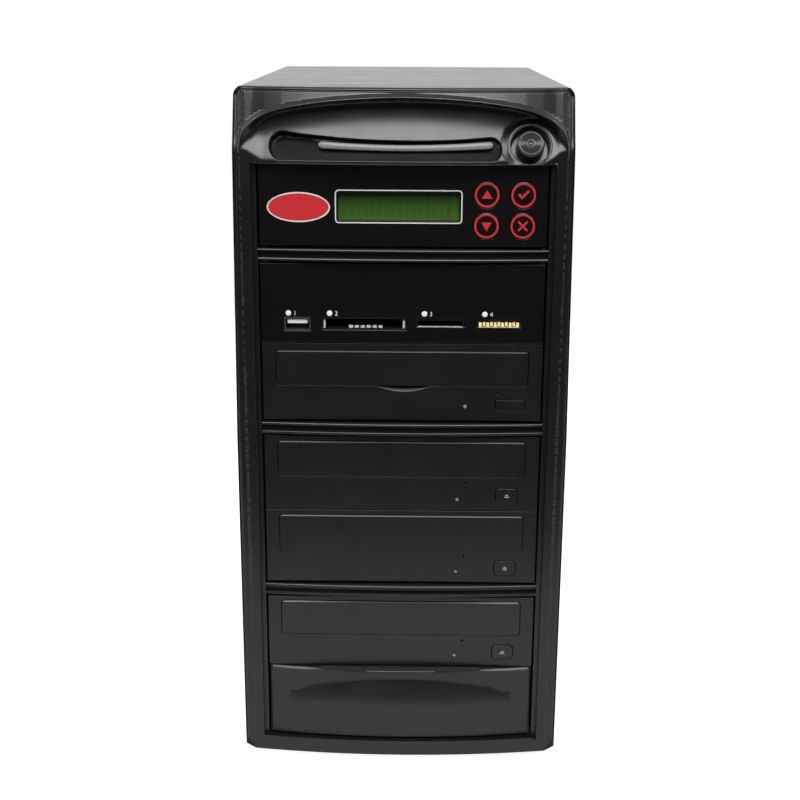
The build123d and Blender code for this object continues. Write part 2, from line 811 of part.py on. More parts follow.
def side_cage(side):
    """Bay side plate with folded flanges, screw slots and a window beside each bay."""
    y = (bezel_back + steel + 0.1, bezel_back + steel + cage_length)
    z = (pan_top, opening_top + 1.3)
    inner = cage_half
    plate = block((inner, inner + steel), y, z)
    plate += block((inner, inner + flange), y, (z[0], z[0] + steel))
    plate += block((inner, inner + flange), y, (z[1] - steel, z[1]))
    plate += block((inner, inner + flange), (y[0], y[0] + steel), z)
    for bay in range(1, 8):
        base = bay_bottom(bay) + panel_foot + drive_hole_height
        for hole in drive_hole_y:
            plate -= Pos(0, face_y + hole, base) * Box(
                4 * inner, 9.0, 2 * (drive_screw + screw_gap) + 1.0
            )
        window = Pos(inner, face_y + 92, base + 11) * Box(4 * steel, 52, 20)
        plate -= window
    return plate if side > 0 else mirror(plate, Plane.YZ)


def cage_brace():
    """Ribbed strip across the top of both side plates."""
    z = opening_top + 1.3
    half = cage_half + flange
    strip = block((-half, half), (bezel_back + 30, bezel_back + 120), (z, z + steel))
    for y in (bezel_back + 50, bezel_back + 100):
        strip += block((-half + 15, half - 15), (y - 2, y + 2), (z + steel, z + steel + 2))
    return strip


def front_frame():
    """Steel plate behind the bezel, folded back at the sides and top."""
    z = (foot_height, cover_top - cover_steel - gap)
    y = (bezel_back, bezel_back + steel + flange)
    shell = folded_sheet(y, z)
    shell -= block(
        (-chassis_half + steel, chassis_half - steel), (y[0] + steel, y[1] + 1), (z[0] - 1, z[1] - steel)
    )
    shell -= block((-cover_half, cover_half), (y[0] + steel, y[1] + 1), (0, pan_top))
    window = block(
        (-opening_half - 1.5, opening_half + 1.5),
        (y[0] - 1, y[0] + 3),
        (opening_bottom - 0.5, opening_top + 0.5),
    )
    switch_hole = rod(button_x, button_z - 4, switch_size, (y[0] - 1, y[0] + 3))
    return shell - window - switch_hole


def folded_sheet(y, z):
    """Outer form of a panel folded to fit inside the cover, with its round top corners."""
    form = block((-chassis_half, chassis_half), y, z)
    corners = form.edges().filter_by(Axis.Y).sort_by(Axis.Z)[-2:]
    return fillet(corners, cover_corner)


def base_pan():
    """Bottom sheet with upturned sides."""
    y = (bezel_back + steel + 0.1, rear_y - cover_steel)
    pan = block((-chassis_half, chassis_half), y, (foot_height, pan_top))
    pan += pair(
        (chassis_half - steel, chassis_half),
        (y[0] + flange + 1, y[1] - flange - 2),
        (foot_height, pan_top + 14),
    )
    return pan


def rear_panel():
    """Rear sheet with power supply and fan openings, vents and folded edges."""
    y = (rear_panel_y, rear_panel_y + steel)
    z = (pan_top, cover_top - cover_steel - gap)
    shell = folded_sheet((y[0] - flange, y[1]), z)
    shell -= block(
        (-chassis_half + steel, chassis_half - steel), (y[0] - flange - 1, y[0]), (z[0] - 1, z[1] - steel)
    )
    through = (y[0] - 1, y[1] + 1)
    half = psu_width / 2 - 4
    shell -= block((-half, half), through, (psu_bottom + 4, psu_bottom + psu_height - 4))
    for x, rise in fan_mesh():
        shell -= prism(x, rise, mesh_hole, through)
    for x, rise in fan_holes():
        shell -= prism(x, rise, fan_screw + screw_gap, through)
    for row in range(vent_rows):
        z_low = vent_bottom + row * vent_pitch
        shell -= pair((4, 40), through, (z_low, z_low + vent_height))
    for x, rise in cover_screw_places():
        shell -= prism(x, rise, cover_screw + screw_gap, through)
    return shell


def fan_mesh():
    """Centres of the six-sided holes punched over the fan."""
    rows = range(-mesh_rings, mesh_rings + 1)
    places = []
    for row in rows:
        count = 2 * mesh_rings + 1 - abs(row)
        for column in range(count):
            x = (column - (count - 1) / 2) * mesh_pitch
            places.append((x, fan_z + row * mesh_pitch * math.sqrt(3) / 2))
    return places


def cover_screw_places():
    """Three screws in each rear lip of the cover."""
    x = cover_half - cover_steel - rear_lip / 2
    return [(side * x, z) for side in (-1, 1) for z in (40.0, height / 2, height - 35.0)]


def fan_holes():
    """Corner holes of the rear fan."""
    reach = fan_hole_spacing / 2
    return [(sx * reach, fan_z + sz * reach) for sx in (-1, 1) for sz in (-1, 1)]


def outer_cover():
    """Steel wrap over the top and both sides, with lips folded in at the rear."""
    y = (bezel_back + gap, rear_y)
    outline = Pos(0, (foot_height + cover_top) / 2) * Rectangle(cover_width, cover_top - foot_height)
    top_corners = outline.vertices().sort_by(Axis.Y)[-2:]
    outline = fillet(top_corners, cover_corner)
    inner_half = cover_half - cover_steel
    space = Pos(0, (foot_height + cover_top) / 2 - 20) * Rectangle(
        2 * inner_half, cover_top - foot_height + 40 - 2 * cover_steel
    )
    space = fillet(space.vertices().sort_by(Axis.Y)[-2:], cover_corner - cover_steel)
    wrap = slab(outline, y) - slab(space, (y[0] - 1, y[1] + 1))
    wrap += pair(
        (inner_half - rear_lip, inner_half + 0.2),
        (rear_y - cover_steel, rear_y),
        (foot_height + 4, cover_top - 2),
    )
    for x, rise in cover_screw_places():
        wrap -= prism(x, rise, cover_screw + screw_gap, (rear_y - 3, rear_y + 1))
    return wrap


def cover_screws():
    """Hex-head screws in the cover's rear lips."""
    return [
        prism(x, rise, 3.9, (rear_y, back_y)) + prism(x, rise, cover_screw, (rear_y - 8, rear_y + 0.5))
        for x, rise in cover_screw_places()
    ]


def rubber_feet():
    """Four many-sided feet under the pan, tapered towards the floor."""
    outline = RegularPolygon(foot_radius, 12)
    return [
        Pos(x, y, foot_height) * extrude(outline, amount=-foot_height, taper=10)
        for x in (-66, 66)
        for y in (bezel_back + 22, back_y - 30)
    ]


# ---- power supply ----

inlet_x = (6.0, 34.0)
inlet_rise = (20.0, 43.5)
rocker_x = (40.0, 54.0)
rocker_rise = (21.0, 42.5)
rocker_angle = 12.0
rocker_pin = 1.0
pin_gap = 0.05


def psu_case():
    """Power supply housing with inlet, switch and vent openings in its rear wall."""
    half = psu_width / 2
    y = (rear_panel_y - psu_depth, rear_panel_y)
    z = (psu_bottom, psu_bottom + psu_height)
    shell = block((-half, half), y, z)
    shell -= block((-half + steel, half - steel), (y[0] + steel, y[1] - steel), (z[0] + steel, z[1] - steel))
    through = (y[1] - 2 * steel, y[1] + 1)
    shell -= block((inlet_x[0], rocker_x[1] + 2), through, (z[0] + inlet_rise[0], z[0] + inlet_rise[1]))
    for row in range(9):
        rise = z[0] + 10 + 5 * row
        shell -= block((-54, -28), through, (rise, rise + 2.8))
        shell -= block((-24, 0), through, (rise, rise + 2.8))
    return shell


def psu_inlet():
    """Three-pin mains inlet and the well of the rocker switch in one moulding."""
    z = psu_bottom
    y_face = rear_panel_y + steel + 0.6
    body = block(
        (inlet_x[0] + 0.1, rocker_x[1] + 1.9),
        (y_face - 24, y_face),
        (z + inlet_rise[0] + 0.1, z + inlet_rise[1] - 0.1),
    )
    middle = (inlet_x[0] + inlet_x[1]) / 2
    centre_z = z + (inlet_rise[0] + inlet_rise[1]) / 2
    mouth = Polyline(
        (middle - 12.2, centre_z - 8.2),
        (middle + 12.2, centre_z - 8.2),
        (middle + 12.2, centre_z + 3.5),
        (middle + 7.5, centre_z + 8.2),
        (middle - 7.5, centre_z + 8.2),
        (middle - 12.2, centre_z + 3.5),
        close=True,
    )
    body -= slab(make_face(mouth), (y_face - 16, y_face + 1))
    for x, rise in ((-7, -2), (0, 2), (7, -2)):
        body += block(
            (middle + x - 1, middle + x + 1),
            (y_face - 17, y_face - 2),
            (centre_z + rise - 2, centre_z + rise + 2),
        )
    body -= block(rocker_x, (y_face - 9, y_face + 1), (z + rocker_rise[0], z + rocker_rise[1]))
    pin_y, pin_z = rocker_pivot()
    return body - cross_rod(pin_y, pin_z, rocker_pin + pin_gap, (rocker_x[0] - 1.2, rocker_x[1] + 1.2))


def rocker_pivot():
    """Depth and height of the rocker's axis."""
    return rear_panel_y + steel - 4.0, psu_bottom + (rocker_rise[0] + rocker_rise[1]) / 2


def psu_rocker():
    """Rocker with two faces that meet over its axis, lower end pressed in."""
    y, z = rocker_pivot()
    half = (rocker_rise[1] - rocker_rise[0]) / 2 - 1.0
    outline = Polyline(
        (-half, 2.0), (-half, 4.4), (0, 3.2), (half, 4.4), (half, 2.0), (4.0, -2.5), (-4.0, -2.5), close=True
    )
    span = rocker_x[1] - rocker_x[0] - 2 * gap
    side_view = Plane(origin=(rocker_x[1] - gap, y, z), x_dir=(0, 0, 1), z_dir=(-1, 0, 0))
    body = extrude(side_view * make_face(outline), amount=span)
    body += cross_rod(y, z, rocker_pin, (rocker_x[0] - 1.0, rocker_x[1] + 1.0))
    return Pos(0, y, z) * Rot(-rocker_angle, 0, 0) * Pos(0, -y, -z) * body


# ---- rear fan ----

def rear_fan_frame():
    """Square frame with round duct, corner holes and a hub on four struts."""
    half = fan_size / 2
    y = (rear_panel_y - fan_thick, rear_panel_y)
    frame = block((-half, half), y, (fan_z - half, fan_z + half))
    frame -= prism(0, fan_z, fan_bore, (y[0] - 1, y[1] + 1), 40)
    for angle in (0, 90):
        strut = Pos(0, 0, fan_z) * Rot(0, angle + 45, 0) * Pos(0, y[0] + 1.5, 0) * Box(2 * fan_bore + 1, 3, 3.5)
        frame += strut
    frame += prism(0, fan_z, 15.0, (y[0], y[0] + 3), round_sides)
    frame -= rod(0, fan_z, fan_shaft + pin_gap, (y[0] - 1, y[0] + 4))
    for x, rise in fan_holes():
        frame -= prism(x, rise, fan_screw + screw_gap, (y[0] - 1, y[1] + 1))
    return frame


def rear_fan_rotor():
    """Hub, shaft and seven pitched blades."""
    y = (rear_panel_y - fan_thick + 3 + gap, rear_panel_y - 4)
    rotor = prism(0, fan_z, 16.0, y, round_sides)
    rotor += rod(0, fan_z, fan_shaft, (rear_panel_y - fan_thick + 0.2, y[0] + 1))
    middle = (y[0] + y[1]) / 2
    for blade in range(blade_count):
        turn = Rot(0, 360 / blade_count * blade, 0)
        vane = Pos(25.7, 0, 0) * Rot(35, 0, 0) * Box(21.6, 1.4, 20.0)
        rotor += Pos(0, middle, fan_z) * turn * vane
    return rotor


def fan_screws():
    """Screws through the rear panel into the fan frame."""
    y = rear_panel_y + steel
    return [
        prism(x, rise, 3.4, (y, y + 1.6), 8) + prism(x, rise, fan_screw, (y - 9, y + 0.5))
        for x, rise in fan_holes()
    ]


# ---- write every node ----

os.makedirs("parts", exist_ok=True)
save("front_bezel", front_bezel())
save("slot_trim", slot_trim())
save("power_button", power_button())
save("power_switch", power_switch())
save("control_panel", control_panel())
for name in key_centres:
    save(name, key(name))
save("lcd_module", lcd_module())
save("lcd_glass", lcd_glass())
save("control_board", control_board())
save("reader_panel", reader_panel())
save("reader_leds", *reader_leds())
save("reader_board", reader_board())
save("usb_socket", usb_socket())
for name in ("cf_socket", "sd_socket", "ms_socket"):
    save(name, card_socket(name))
save("filler_panel", filler_panel())
for number in range(1, 5):
    save(f"drive{number}_bezel", drive_bezel(number))
    save(f"drive{number}_door", drive_door(number))
    save(f"drive{number}_eject", drive_eject(number))
    save(f"drive{number}_tray", drive_tray(number))
    save(f"drive{number}_case", drive_case(number))
save("drive_screws", *drive_screws())
save("cage_left", side_cage(-1))
save("cage_right", side_cage(1))
save("cage_brace", cage_brace())
save("front_frame", front_frame())
save("base_pan", base_pan())
save("rear_panel", rear_panel())
save("outer_cover", outer_cover())
save("cover_screws", *cover_screws())
save("rubber_feet", *rubber_feet())
save("psu_case", psu_case())
save("psu_inlet", psu_inlet())
save("psu_rocker", psu_rocker())
save("rear_fan_frame", rear_fan_frame())
save("rear_fan_rotor", rear_fan_rotor())
save("fan_screws", *fan_screws())
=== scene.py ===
import bpy
import bmesh
import math
import numpy as np
from mathutils import Matrix, Vector
from mathutils.geometry import delaunay_2d_cdt


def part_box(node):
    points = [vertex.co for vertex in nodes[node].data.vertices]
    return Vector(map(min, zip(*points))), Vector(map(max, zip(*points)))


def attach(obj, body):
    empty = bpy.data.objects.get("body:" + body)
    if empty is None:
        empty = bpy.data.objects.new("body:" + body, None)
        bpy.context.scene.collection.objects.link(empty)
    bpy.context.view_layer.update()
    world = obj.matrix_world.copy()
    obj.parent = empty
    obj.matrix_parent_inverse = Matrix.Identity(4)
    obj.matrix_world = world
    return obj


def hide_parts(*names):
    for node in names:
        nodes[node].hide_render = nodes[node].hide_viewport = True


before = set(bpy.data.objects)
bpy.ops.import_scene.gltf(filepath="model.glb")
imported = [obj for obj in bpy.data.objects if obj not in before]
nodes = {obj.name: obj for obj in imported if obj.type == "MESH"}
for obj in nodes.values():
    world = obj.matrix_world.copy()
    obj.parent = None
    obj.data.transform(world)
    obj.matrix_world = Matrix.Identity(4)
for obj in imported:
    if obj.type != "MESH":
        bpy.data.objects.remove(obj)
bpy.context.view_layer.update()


# ------------------------------------------------------------
# The room: a pale laminate table top, an even white surround and soft boxes.
# One large box hangs in front and above, so slopes that face up are light and upright
# faces stay dark. The camera stands a little right of the middle and looks down.

MM = 0.001


def linear(hexadecimal):
    """Scene colour of an sRGB hex value."""
    parts = [int(hexadecimal[i:i + 2], 16) / 255 for i in (1, 3, 5)]
    return tuple(c / 12.92 if c <= 0.04045 else ((c + 0.055) / 1.055) ** 2.4 for c in parts) + (1.0,)


def add(tree, kind, links=None, **settings):
    """A shader or geometry node; links gives its inputs a value or another node's output."""
    made = tree.nodes.new(kind)
    for name, value in settings.items():
        setattr(made, name, value)
    for socket, value in (links or {}).items():
        if isinstance(value, bpy.types.NodeSocket):
            tree.links.new(value, made.inputs[socket])
        else:
            made.inputs[socket].default_value = value
    return made


def surface(name, colour, roughness, metallic=0.0):
    """A material with its shader, and where a point lies on the finished tower."""
    material = bpy.data.materials.new(name)
    material.use_nodes = True
    tree = material.node_tree
    shader = tree.nodes["Principled BSDF"]
    shader.inputs["Base Color"].default_value = linear(colour)
    shader.inputs["Roughness"].default_value = roughness
    shader.inputs["Metallic"].default_value = metallic
    return material, tree, shader, add(tree, "ShaderNodeTexCoord").outputs["Object"]


def tinted(tree, shader, factor, low, high):
    """Base colour between two tones."""
    tones = {"Factor": factor, "A": linear(low), "B": linear(high)}
    tint = add(tree, "ShaderNodeMix", tones, data_type="RGBA")
    tree.links.new(tint.outputs["Result"], shader.inputs["Base Color"])


def speckled(name, colour, roughness, scale, low, high, detail=2.0):
    """Two near tones mixed by fine noise."""
    material, tree, shader, place = surface(name, colour, roughness)
    noise = add(tree, "ShaderNodeTexNoise", {"Vector": place, "Scale": scale, "Detail": detail})
    tinted(tree, shader, noise.outputs["Fac"], low, high)
    return material


def linked(name, data):
    """A new object in the scene."""
    made = bpy.data.objects.new(name, data)
    bpy.context.collection.objects.link(made)
    return made


# laminate, matt and nearly white: a plain ground that shows the eye only the shadow. The
# camera sees it nearly as white as the surround.
table_top = speckled("laminate_table_top", "#dcdcda", 0.6, 90.0, "#dededc", "#d8d8d6", detail=3.0)
tree = table_top.node_tree
shader = tree.nodes["Principled BSDF"]
seen_white = 0.93
rays = add(tree, "ShaderNodeLightPath")
white = add(tree, "ShaderNodeMath", {0: rays.outputs["Is Camera Ray"], 1: seen_white}, operation="MULTIPLY")
shader.inputs["Emission Color"].default_value = linear("#ffffff")
tree.links.new(white.outputs[0], shader.inputs["Emission Strength"])

left, right, near, far = -1.1, 1.1, -0.41, 1.0
floor_mesh = bpy.data.meshes.new("table")
corners = [(left, near, 0), (right, near, 0), (right, far, 0), (left, far, 0)]
floor_mesh.from_pydata(corners, [], [(0, 1, 2, 3)])
floor_mesh.materials.append(table_top)
table = linked("table", floor_mesh)

# the surround is dim as a lamp and white to the camera and through glass. Glossy slopes
# also mirror a white wall behind the tower.
as_lamp, as_mirrored = 0.07, 1.1
world = bpy.data.worlds.new("white_surround")
bpy.context.scene.world = world
world.use_nodes = True
tree = world.node_tree
room = tree.nodes["Background"]
room.inputs["Color"].default_value = linear("#ffffff")
rays = add(tree, "ShaderNodeLightPath")
seen = add(tree, "ShaderNodeMath", {
    0: rays.outputs["Is Camera Ray"], 1: rays.outputs["Is Transmission Ray"]}, operation="MAXIMUM")
direction = add(tree, "ShaderNodeTexCoord").outputs["Generated"]
behind = add(tree, "ShaderNodeSeparateXYZ", {"Vector": direction}).outputs["Y"]
behind = add(tree, "ShaderNodeMapRange", {
    "Value": behind, "From Min": 0.0, "From Max": 0.2, "To Max": as_mirrored})
mirrored = add(tree, "ShaderNodeMath", {0: behind.outputs["Result"], 1: rays.outputs["Is Glossy Ray"]},
               operation="MULTIPLY")
seen = add(tree, "ShaderNodeMath", {0: seen.outputs[0], 1: mirrored.outputs[0]}, operation="MAXIMUM")
level = add(tree, "ShaderNodeMapRange", {"Value": seen.outputs[0], "To Min": as_lamp, "To Max": 1.0})
tree.links.new(level.outputs["Result"], room.inputs["Strength"])


def lamp(name, place, target, size, watts):
    """Rectangular soft box that faces its target."""
    data = bpy.data.lights.new(name, "AREA")
    data.shape = "RECTANGLE"
    data.size, data.size_y = size
    data.energy = watts
    made = linked(name, data)
    made.location = place
    made.rotation_mode = "QUATERNION"
    made.rotation_quaternion = (Vector(target) - Vector(place)).to_track_quat("-Z", "Y")


lamp("front_box", (0.0, -1.0, 1.25), (0.0, -0.1, 0.25), (1.1, 0.8), 25.0)
lamp("left_box", (-1.2, -0.5, 1.15), (0.0, 0.0, 0.3), (0.5, 0.5), 8.0)
lamp("right_box", (1.2, -0.5, 1.15), (0.0, 0.0, 0.3), (0.5, 0.5), 8.0)

# the camera's lens and place, from the tower's edges in the photograph
camera_data = bpy.data.cameras.new("camera")
camera_data.lens, camera_data.sensor_width = 59.74, 36.0
camera_data.clip_end = 50.0
camera = linked("camera", camera_data)
camera_place = (0.00563, -0.8156, 0.4103)
pitch, yaw, roll = (math.radians(a) for a in (16.234, -0.563, 0.317))
ahead = Vector((math.sin(yaw) * math.cos(pitch), math.cos(yaw) * math.cos(pitch), -math.sin(pitch)))
level_right = Vector((math.cos(yaw), -math.sin(yaw), 0))
level_up = level_right.cross(ahead)
right = level_right * math.cos(roll) + level_up * math.sin(roll)
up = level_up * math.cos(roll) - level_right * math.sin(roll)
camera.matrix_world = Matrix.Translation(camera_place) @ Matrix((right, up, -ahead)).transposed().to_4x4()
bpy.context.scene.camera = camera
bpy.context.scene.view_settings.view_transform = "Standard"


# ------------------------------------------------------------
# Front bezel: one ABS moulding, black, with a fine spark-eroded texture. A top band and
# two cheeks stand round an inner frame that is bowed in plan; an arched recess with a
# slot-shaped groove and the power button's well is sunk in its upper part.

def moulded(name, colour, roughness, grain_mm, depth_mm):
    """Moulded or painted surface: a fine random grain and slightly uneven gloss."""
    material, tree, shader, place = surface(name, colour, roughness)
    fine = add(tree, "ShaderNodeTexNoise", {"Vector": place, "Scale": 1000 / grain_mm, "Detail": 2.0})
    broad = add(tree, "ShaderNodeTexNoise", {"Vector": place, "Scale": 60.0, "Detail": 3.0})
    gloss = add(tree, "ShaderNodeMapRange", {
        "Value": broad.outputs["Fac"], "From Min": 0.3, "From Max": 0.7,
        "To Min": roughness * 0.9, "To Max": roughness * 1.1})
    tree.links.new(gloss.outputs["Result"], shader.inputs["Roughness"])
    bump = add(tree, "ShaderNodeBump", {"Height": fine.outputs["Fac"], "Distance": depth_mm * MM})
    tree.links.new(bump.outputs["Normal"], shader.inputs["Normal"])
    return material


# spark-eroded mould: deep black with a satin sheen that shows the form in broad highlights
black_abs = moulded("spark_textured_black_abs", "#101012", 0.30, 0.45, 0.006)


def given(made, body, replaced):
    """The piece rides its body and stands for the CAD nodes named."""
    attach(made, body)
    if replaced:
        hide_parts(*replaced)


def piece(name, points, faces, material, body, slot, *replaced, normals=None, angle=32):
    """A solid from points in millimetres; edges sharper than the angle stay crisp."""
    mesh = bpy.data.meshes.new(name)
    mesh.from_pydata((np.asarray(points) * MM).tolist(), [], faces)
    mesh.materials.append(material)
    if normals is None:
        solid = bmesh.new()
        solid.from_mesh(mesh)
        bmesh.ops.remove_doubles(solid, verts=solid.verts, dist=1e-6)
        bmesh.ops.recalc_face_normals(solid, faces=solid.faces)
        solid.to_mesh(mesh)
        solid.free()
    mesh.polygons.foreach_set("use_smooth", [True] * len(mesh.polygons))
    if normals is None:
        mesh.set_sharp_from_angle(angle=math.radians(angle))
    else:
        mesh.normals_split_custom_set(normals)
    given(linked(name, mesh), body, replaced)


def set_back(x, rise, half):
    """How far a bowed front lies behind its crown at a distance from the middle."""
    radius = (half ** 2 + rise ** 2) / (2 * rise)
    return radius - np.sqrt(radius ** 2 - x ** 2)


def through(points, step):
    """Points at even steps along a smooth line through the points given."""
    p = np.asarray(points, float)
    p = np.vstack([2 * p[0] - p[1], p, 2 * p[-1] - p[-2]])
    line = []
    for a, b, c, d in zip(p[:-3], p[1:-2], p[2:-1], p[3:]):
        for t in np.arange(0, 1, 0.05):
            square, cube = 2 * a - 5 * b + 4 * c - d, 3 * b - a - 3 * c + d
            line.append(0.5 * (2 * b + (c - a) * t + square * t ** 2 + cube * t ** 3))
    line = np.array(line + [p[-2]])
    run = np.concatenate([[0], np.cumsum(np.linalg.norm(np.diff(line, axis=0), axis=1))])
    at = np.linspace(0, run[-1], max(2, int(run[-1] / step) + 1))
    return np.column_stack([np.interp(at, run, line[:, 0]), np.interp(at, run, line[:, 1])])


def nearest(points, line, closed=False):
    """Distance of each point from a line of straight runs, and the direction away from it."""
    a = np.asarray(line, float)
    b = np.roll(a, -1, 0) if closed else a[1:]
    a = a if closed else a[:-1]
    best = np.full(len(points), 1e9)
    foot = np.zeros((len(points), 2))
    for start, end in zip(a, b):
        run = end - start
        t = np.clip(((points - start) @ run) / max(run @ run, 1e-12), 0, 1)
        place = start + t[:, None] * run
        gap = np.linalg.norm(points - place, axis=1)
        closer = gap < best
        best[closer] = gap[closer]
        foot[closer] = place[closer]
    away = (points - foot) / np.maximum(best, 1e-9)[:, None]
    return best, away


def inside(points, ring):
    """Which points lie within a closed line."""
    x, z = points[:, 0], points[:, 1]
    result = np.zeros(len(points), bool)
    for (x0, z0), (x1, z1) in zip(ring, np.roll(ring, -1, 0)):
        crosses = (z0 > z) != (z1 > z)
        with np.errstate(divide="ignore", invalid="ignore"):
            result ^= crosses & (x < (x1 - x0) * (z - z0) / (z1 - z0) + x0)
    return result


def smooth_step(t):
    """Eased rise from 0 to 1."""
    t = np.clip(t, 0, 1)
    return t * t * (3 - 2 * t)


def moved_out(line, gap, closed=False):
    """A line set off sideways, to the left of its run."""
    if closed:
        run = np.roll(line, -1, 0) - np.roll(line, 1, 0)
    else:
        run = np.gradient(line, axis=0)
    run = run / np.maximum(np.linalg.norm(run, axis=1), 1e-9)[:, None]
    return line + gap * np.column_stack([-run[:, 1], run[:, 0]])


# sizes in millimetres; -Y is the front and Z is up
front = -145.5  # crown of the inner frame
inner_half, inner_rise = 82.8, 6.0
band_front, band_half, band_rise, band_lean = -144.0, 88.5, 6.7, 0.30
bezel_back = -120.5
bezel_top, lean_from, top_half, corner = 375.0, 190.0, 86.5, 5.0
cheek_foot, inner_foot = 6.0, 4.2
opening_half, rebate_half, rebate_y = 75.0, 77.5, -137.0
opening_low, opening_high = 13.3, 337.4
recess_foot, recess_deep = 339.4, 10.4
button_x, button_z, button_tilt, well_radius = 64.0, 347.0, math.radians(27), 10.05
well_y = front + set_back(button_x, inner_rise, inner_half) - 0.3 + 9.0 * math.tan(button_tilt)

# the lip, from low on the left crease over the arch to low on the right crease
lip_top = 370.2
half_lip = [(18, 369.7), (35, 368.4), (50, 366.5), (61, 364.3), (70, 361.3), (76, 357.8), (80, 353.4),
            (82, 348.8), (82.8, 343)]
arch = through([(-x, z) for x, z in reversed(half_lip)] + [(0, lip_top)] + half_lip, 0.9)
lip = np.vstack([[(-inner_half, z) for z in np.arange(inner_foot, 342, 5.0)], arch,
                 [(inner_half, z) for z in np.arange(341.0, inner_foot, -5.0)], [(inner_half, inner_foot)]])
inner_ring = np.vstack([lip, [(inner_half, inner_foot - 9), (-inner_half, inner_foot - 9)]])

# the groove's outline: round ends, the left one larger, and a top edge that sags
left_r, right_r = 7.3, 6.0
left_turn = [(-60.7 + left_r * math.cos(a), 346.1 + left_r * math.sin(a))
             for a in np.radians(np.arange(262, 84, -9.0))]
right_turn = [(43.7 + right_r * math.cos(a), 344.8 + right_r * math.sin(a))
              for a in np.radians(np.arange(88, -91, -9.0))]
sag = through([left_turn[-1], (-50, 351.9), (-25, 349.8), (0, 349.1), (24, 349.4), right_turn[0]], 1.0)
base = through([right_turn[-1], left_turn[0]], 1.2)
groove = np.vstack([left_turn[:-1], sag[:-1], right_turn, base[1:-1]])

# the front view's outer line, clockwise from the lower left
turn = np.radians(np.arange(0, 91, 7.5))
left_top = [(-top_half + corner - corner * math.cos(a), bezel_top - corner + corner * math.sin(a))
            for a in turn]
side = [(-band_half, z) for z in np.arange(cheek_foot, lean_from, 6.0)]
lean = [(-band_half + (band_half - top_half) * t, lean_from + (bezel_top - corner - lean_from) * t)
        for t in np.linspace(0, 1, 40)[:-1]]
left_side = side + lean + left_top
top_line = [(x, bezel_top) for x in np.arange(-top_half + corner, top_half - corner, 1.8)[1:]]
foot_line = [(x, inner_foot) for x in np.arange(inner_half, -inner_half - 0.1, -3.6)]
outline = np.array(left_side + top_line + [(-x, z) for x, z in reversed(left_side)] + foot_line)
opening = np.array([(x, opening_low) for x in np.linspace(-rebate_half, rebate_half, 40)]
                   + [(rebate_half, z) for z in np.linspace(opening_low, opening_high, 66)[1:-1]]
                   + [(x, opening_high) for x in np.linspace(rebate_half, -rebate_half, 120)]
                   + [(-rebate_half, z) for z in np.linspace(opening_high, opening_low, 66)[1:-1]])


def from_button(x, z):
    """Distance from the power button's axis, for places in the front view."""
    return np.hypot(x - button_x, (z - button_z) / math.cos(button_tilt))


def seat_ring(gap):
    """Circle round the well, grown by gap, as the front view shows it."""
    radius = well_radius + gap
    height = radius * math.cos(button_tilt)
    return np.array([(button_x + radius * math.cos(a), button_z + height * math.sin(a))
                     for a in np.linspace(0, 2 * math.pi, 64, endpoint=False)])


well = seat_ring(0)


def lip_height(x):
    """Height of the lip above a place across the front."""
    return np.interp(np.abs(x), [0] + [p[0] for p in half_lip], [lip_top] + [p[1] for p in half_lip])


def soft_least(depths, power):
    """Smallest of several depths, with the corners between them rounded."""
    total = sum(np.maximum(d, 1e-3) ** -power for d in depths)
    return total ** (-1 / power)


def front_face(points):
    """Depth, along Y in mm, of the moulding's face at points of the front view."""
    x, z = points[:, 0], points[:, 1]
    inner = front + set_back(x, inner_rise, inner_half)
    outer = band_front + set_back(x, band_rise, band_half)
    off_lip, _ = nearest(points, lip)
    within = inside(points, inner_ring)
    # recess: a floor that climbs back, an upright wall and coved ends
    ends = smooth_step((np.abs(x) - 62) / 16)
    climb = z - recess_foot - 5.0 * smooth_step((np.abs(x) - 70) / 12)
    climb = 0.5 * (climb + np.sqrt(climb * climb + 0.5))
    wall = off_lip * (7.0 - 5.9 * ends) * (0.55 + 0.45 * smooth_step((z - 340) / 18))
    back = recess_deep - 4.6 * (x / 75) ** 2
    recess = soft_least([0.42 * climb + 0.0065 * climb * climb, back, wall], 3.5)
    recess = np.where(z > recess_foot - 1.5, recess, 0.0)
    # groove in the floor; its own floor climbs back faster
    off_groove, _ = nearest(points, groove, closed=True)
    extra = np.maximum(-0.19 + (z - 338.8) - recess, 0)
    sunk = soft_least([extra, off_groove * 3.2], 5)
    y = inner + (recess + np.where(inside(points, groove), sunk, 0.0))
    # the power button's seat is a tilted flat with a thin raised rim at the well
    off_button = from_button(x, z)
    flat = 1 - smooth_step((off_button - 10.6) / 5.0)
    y = y * (1 - flat) + (well_y + (z - button_z) * math.tan(button_tilt)) * flat
    y -= 0.25 * np.clip(1 - np.abs(off_button - well_radius - 0.5) / 0.5, 0, 1)
    # outside the lip the band and cheeks stand back
    reach = 0.9 + 1.5 * smooth_step((z - 340) / 10)
    step_out = smooth_step(off_lip / reach)
    lean_back = np.maximum(z - np.maximum(lip_height(x), 343), 0) * smooth_step((z - 343) / 6)
    outer = outer + band_lean * lean_back
    y = np.where(within, y, inner + (outer - inner) * step_out)
    # rounded outer edge, fuller at the sides, and a fine groove along the top
    edge, away = nearest(points, outline, closed=True)
    upward = np.clip(-away[:, 1], 0, 1) * (z > 200)
    radius = 0.7 + 2.0 * away[:, 0] ** 2 + 0.5 * upward
    bite = np.clip(radius - edge, 0, radius)
    y = y + radius - np.sqrt(np.maximum(radius * radius - bite * bite, 0))
    fade = smooth_step((z - 250) / 100)
    y = y + 0.55 * np.exp(-((edge - 1.75) / 0.38) ** 2) * fade
    # broken edge round the opening
    broken = 0.35
    off_opening, _ = nearest(points, opening, closed=True)
    bite = np.clip(broken - off_opening, 0, broken)
    return y + np.where(inside(points, opening), 0, broken - np.sqrt(broken * broken - bite * bite))


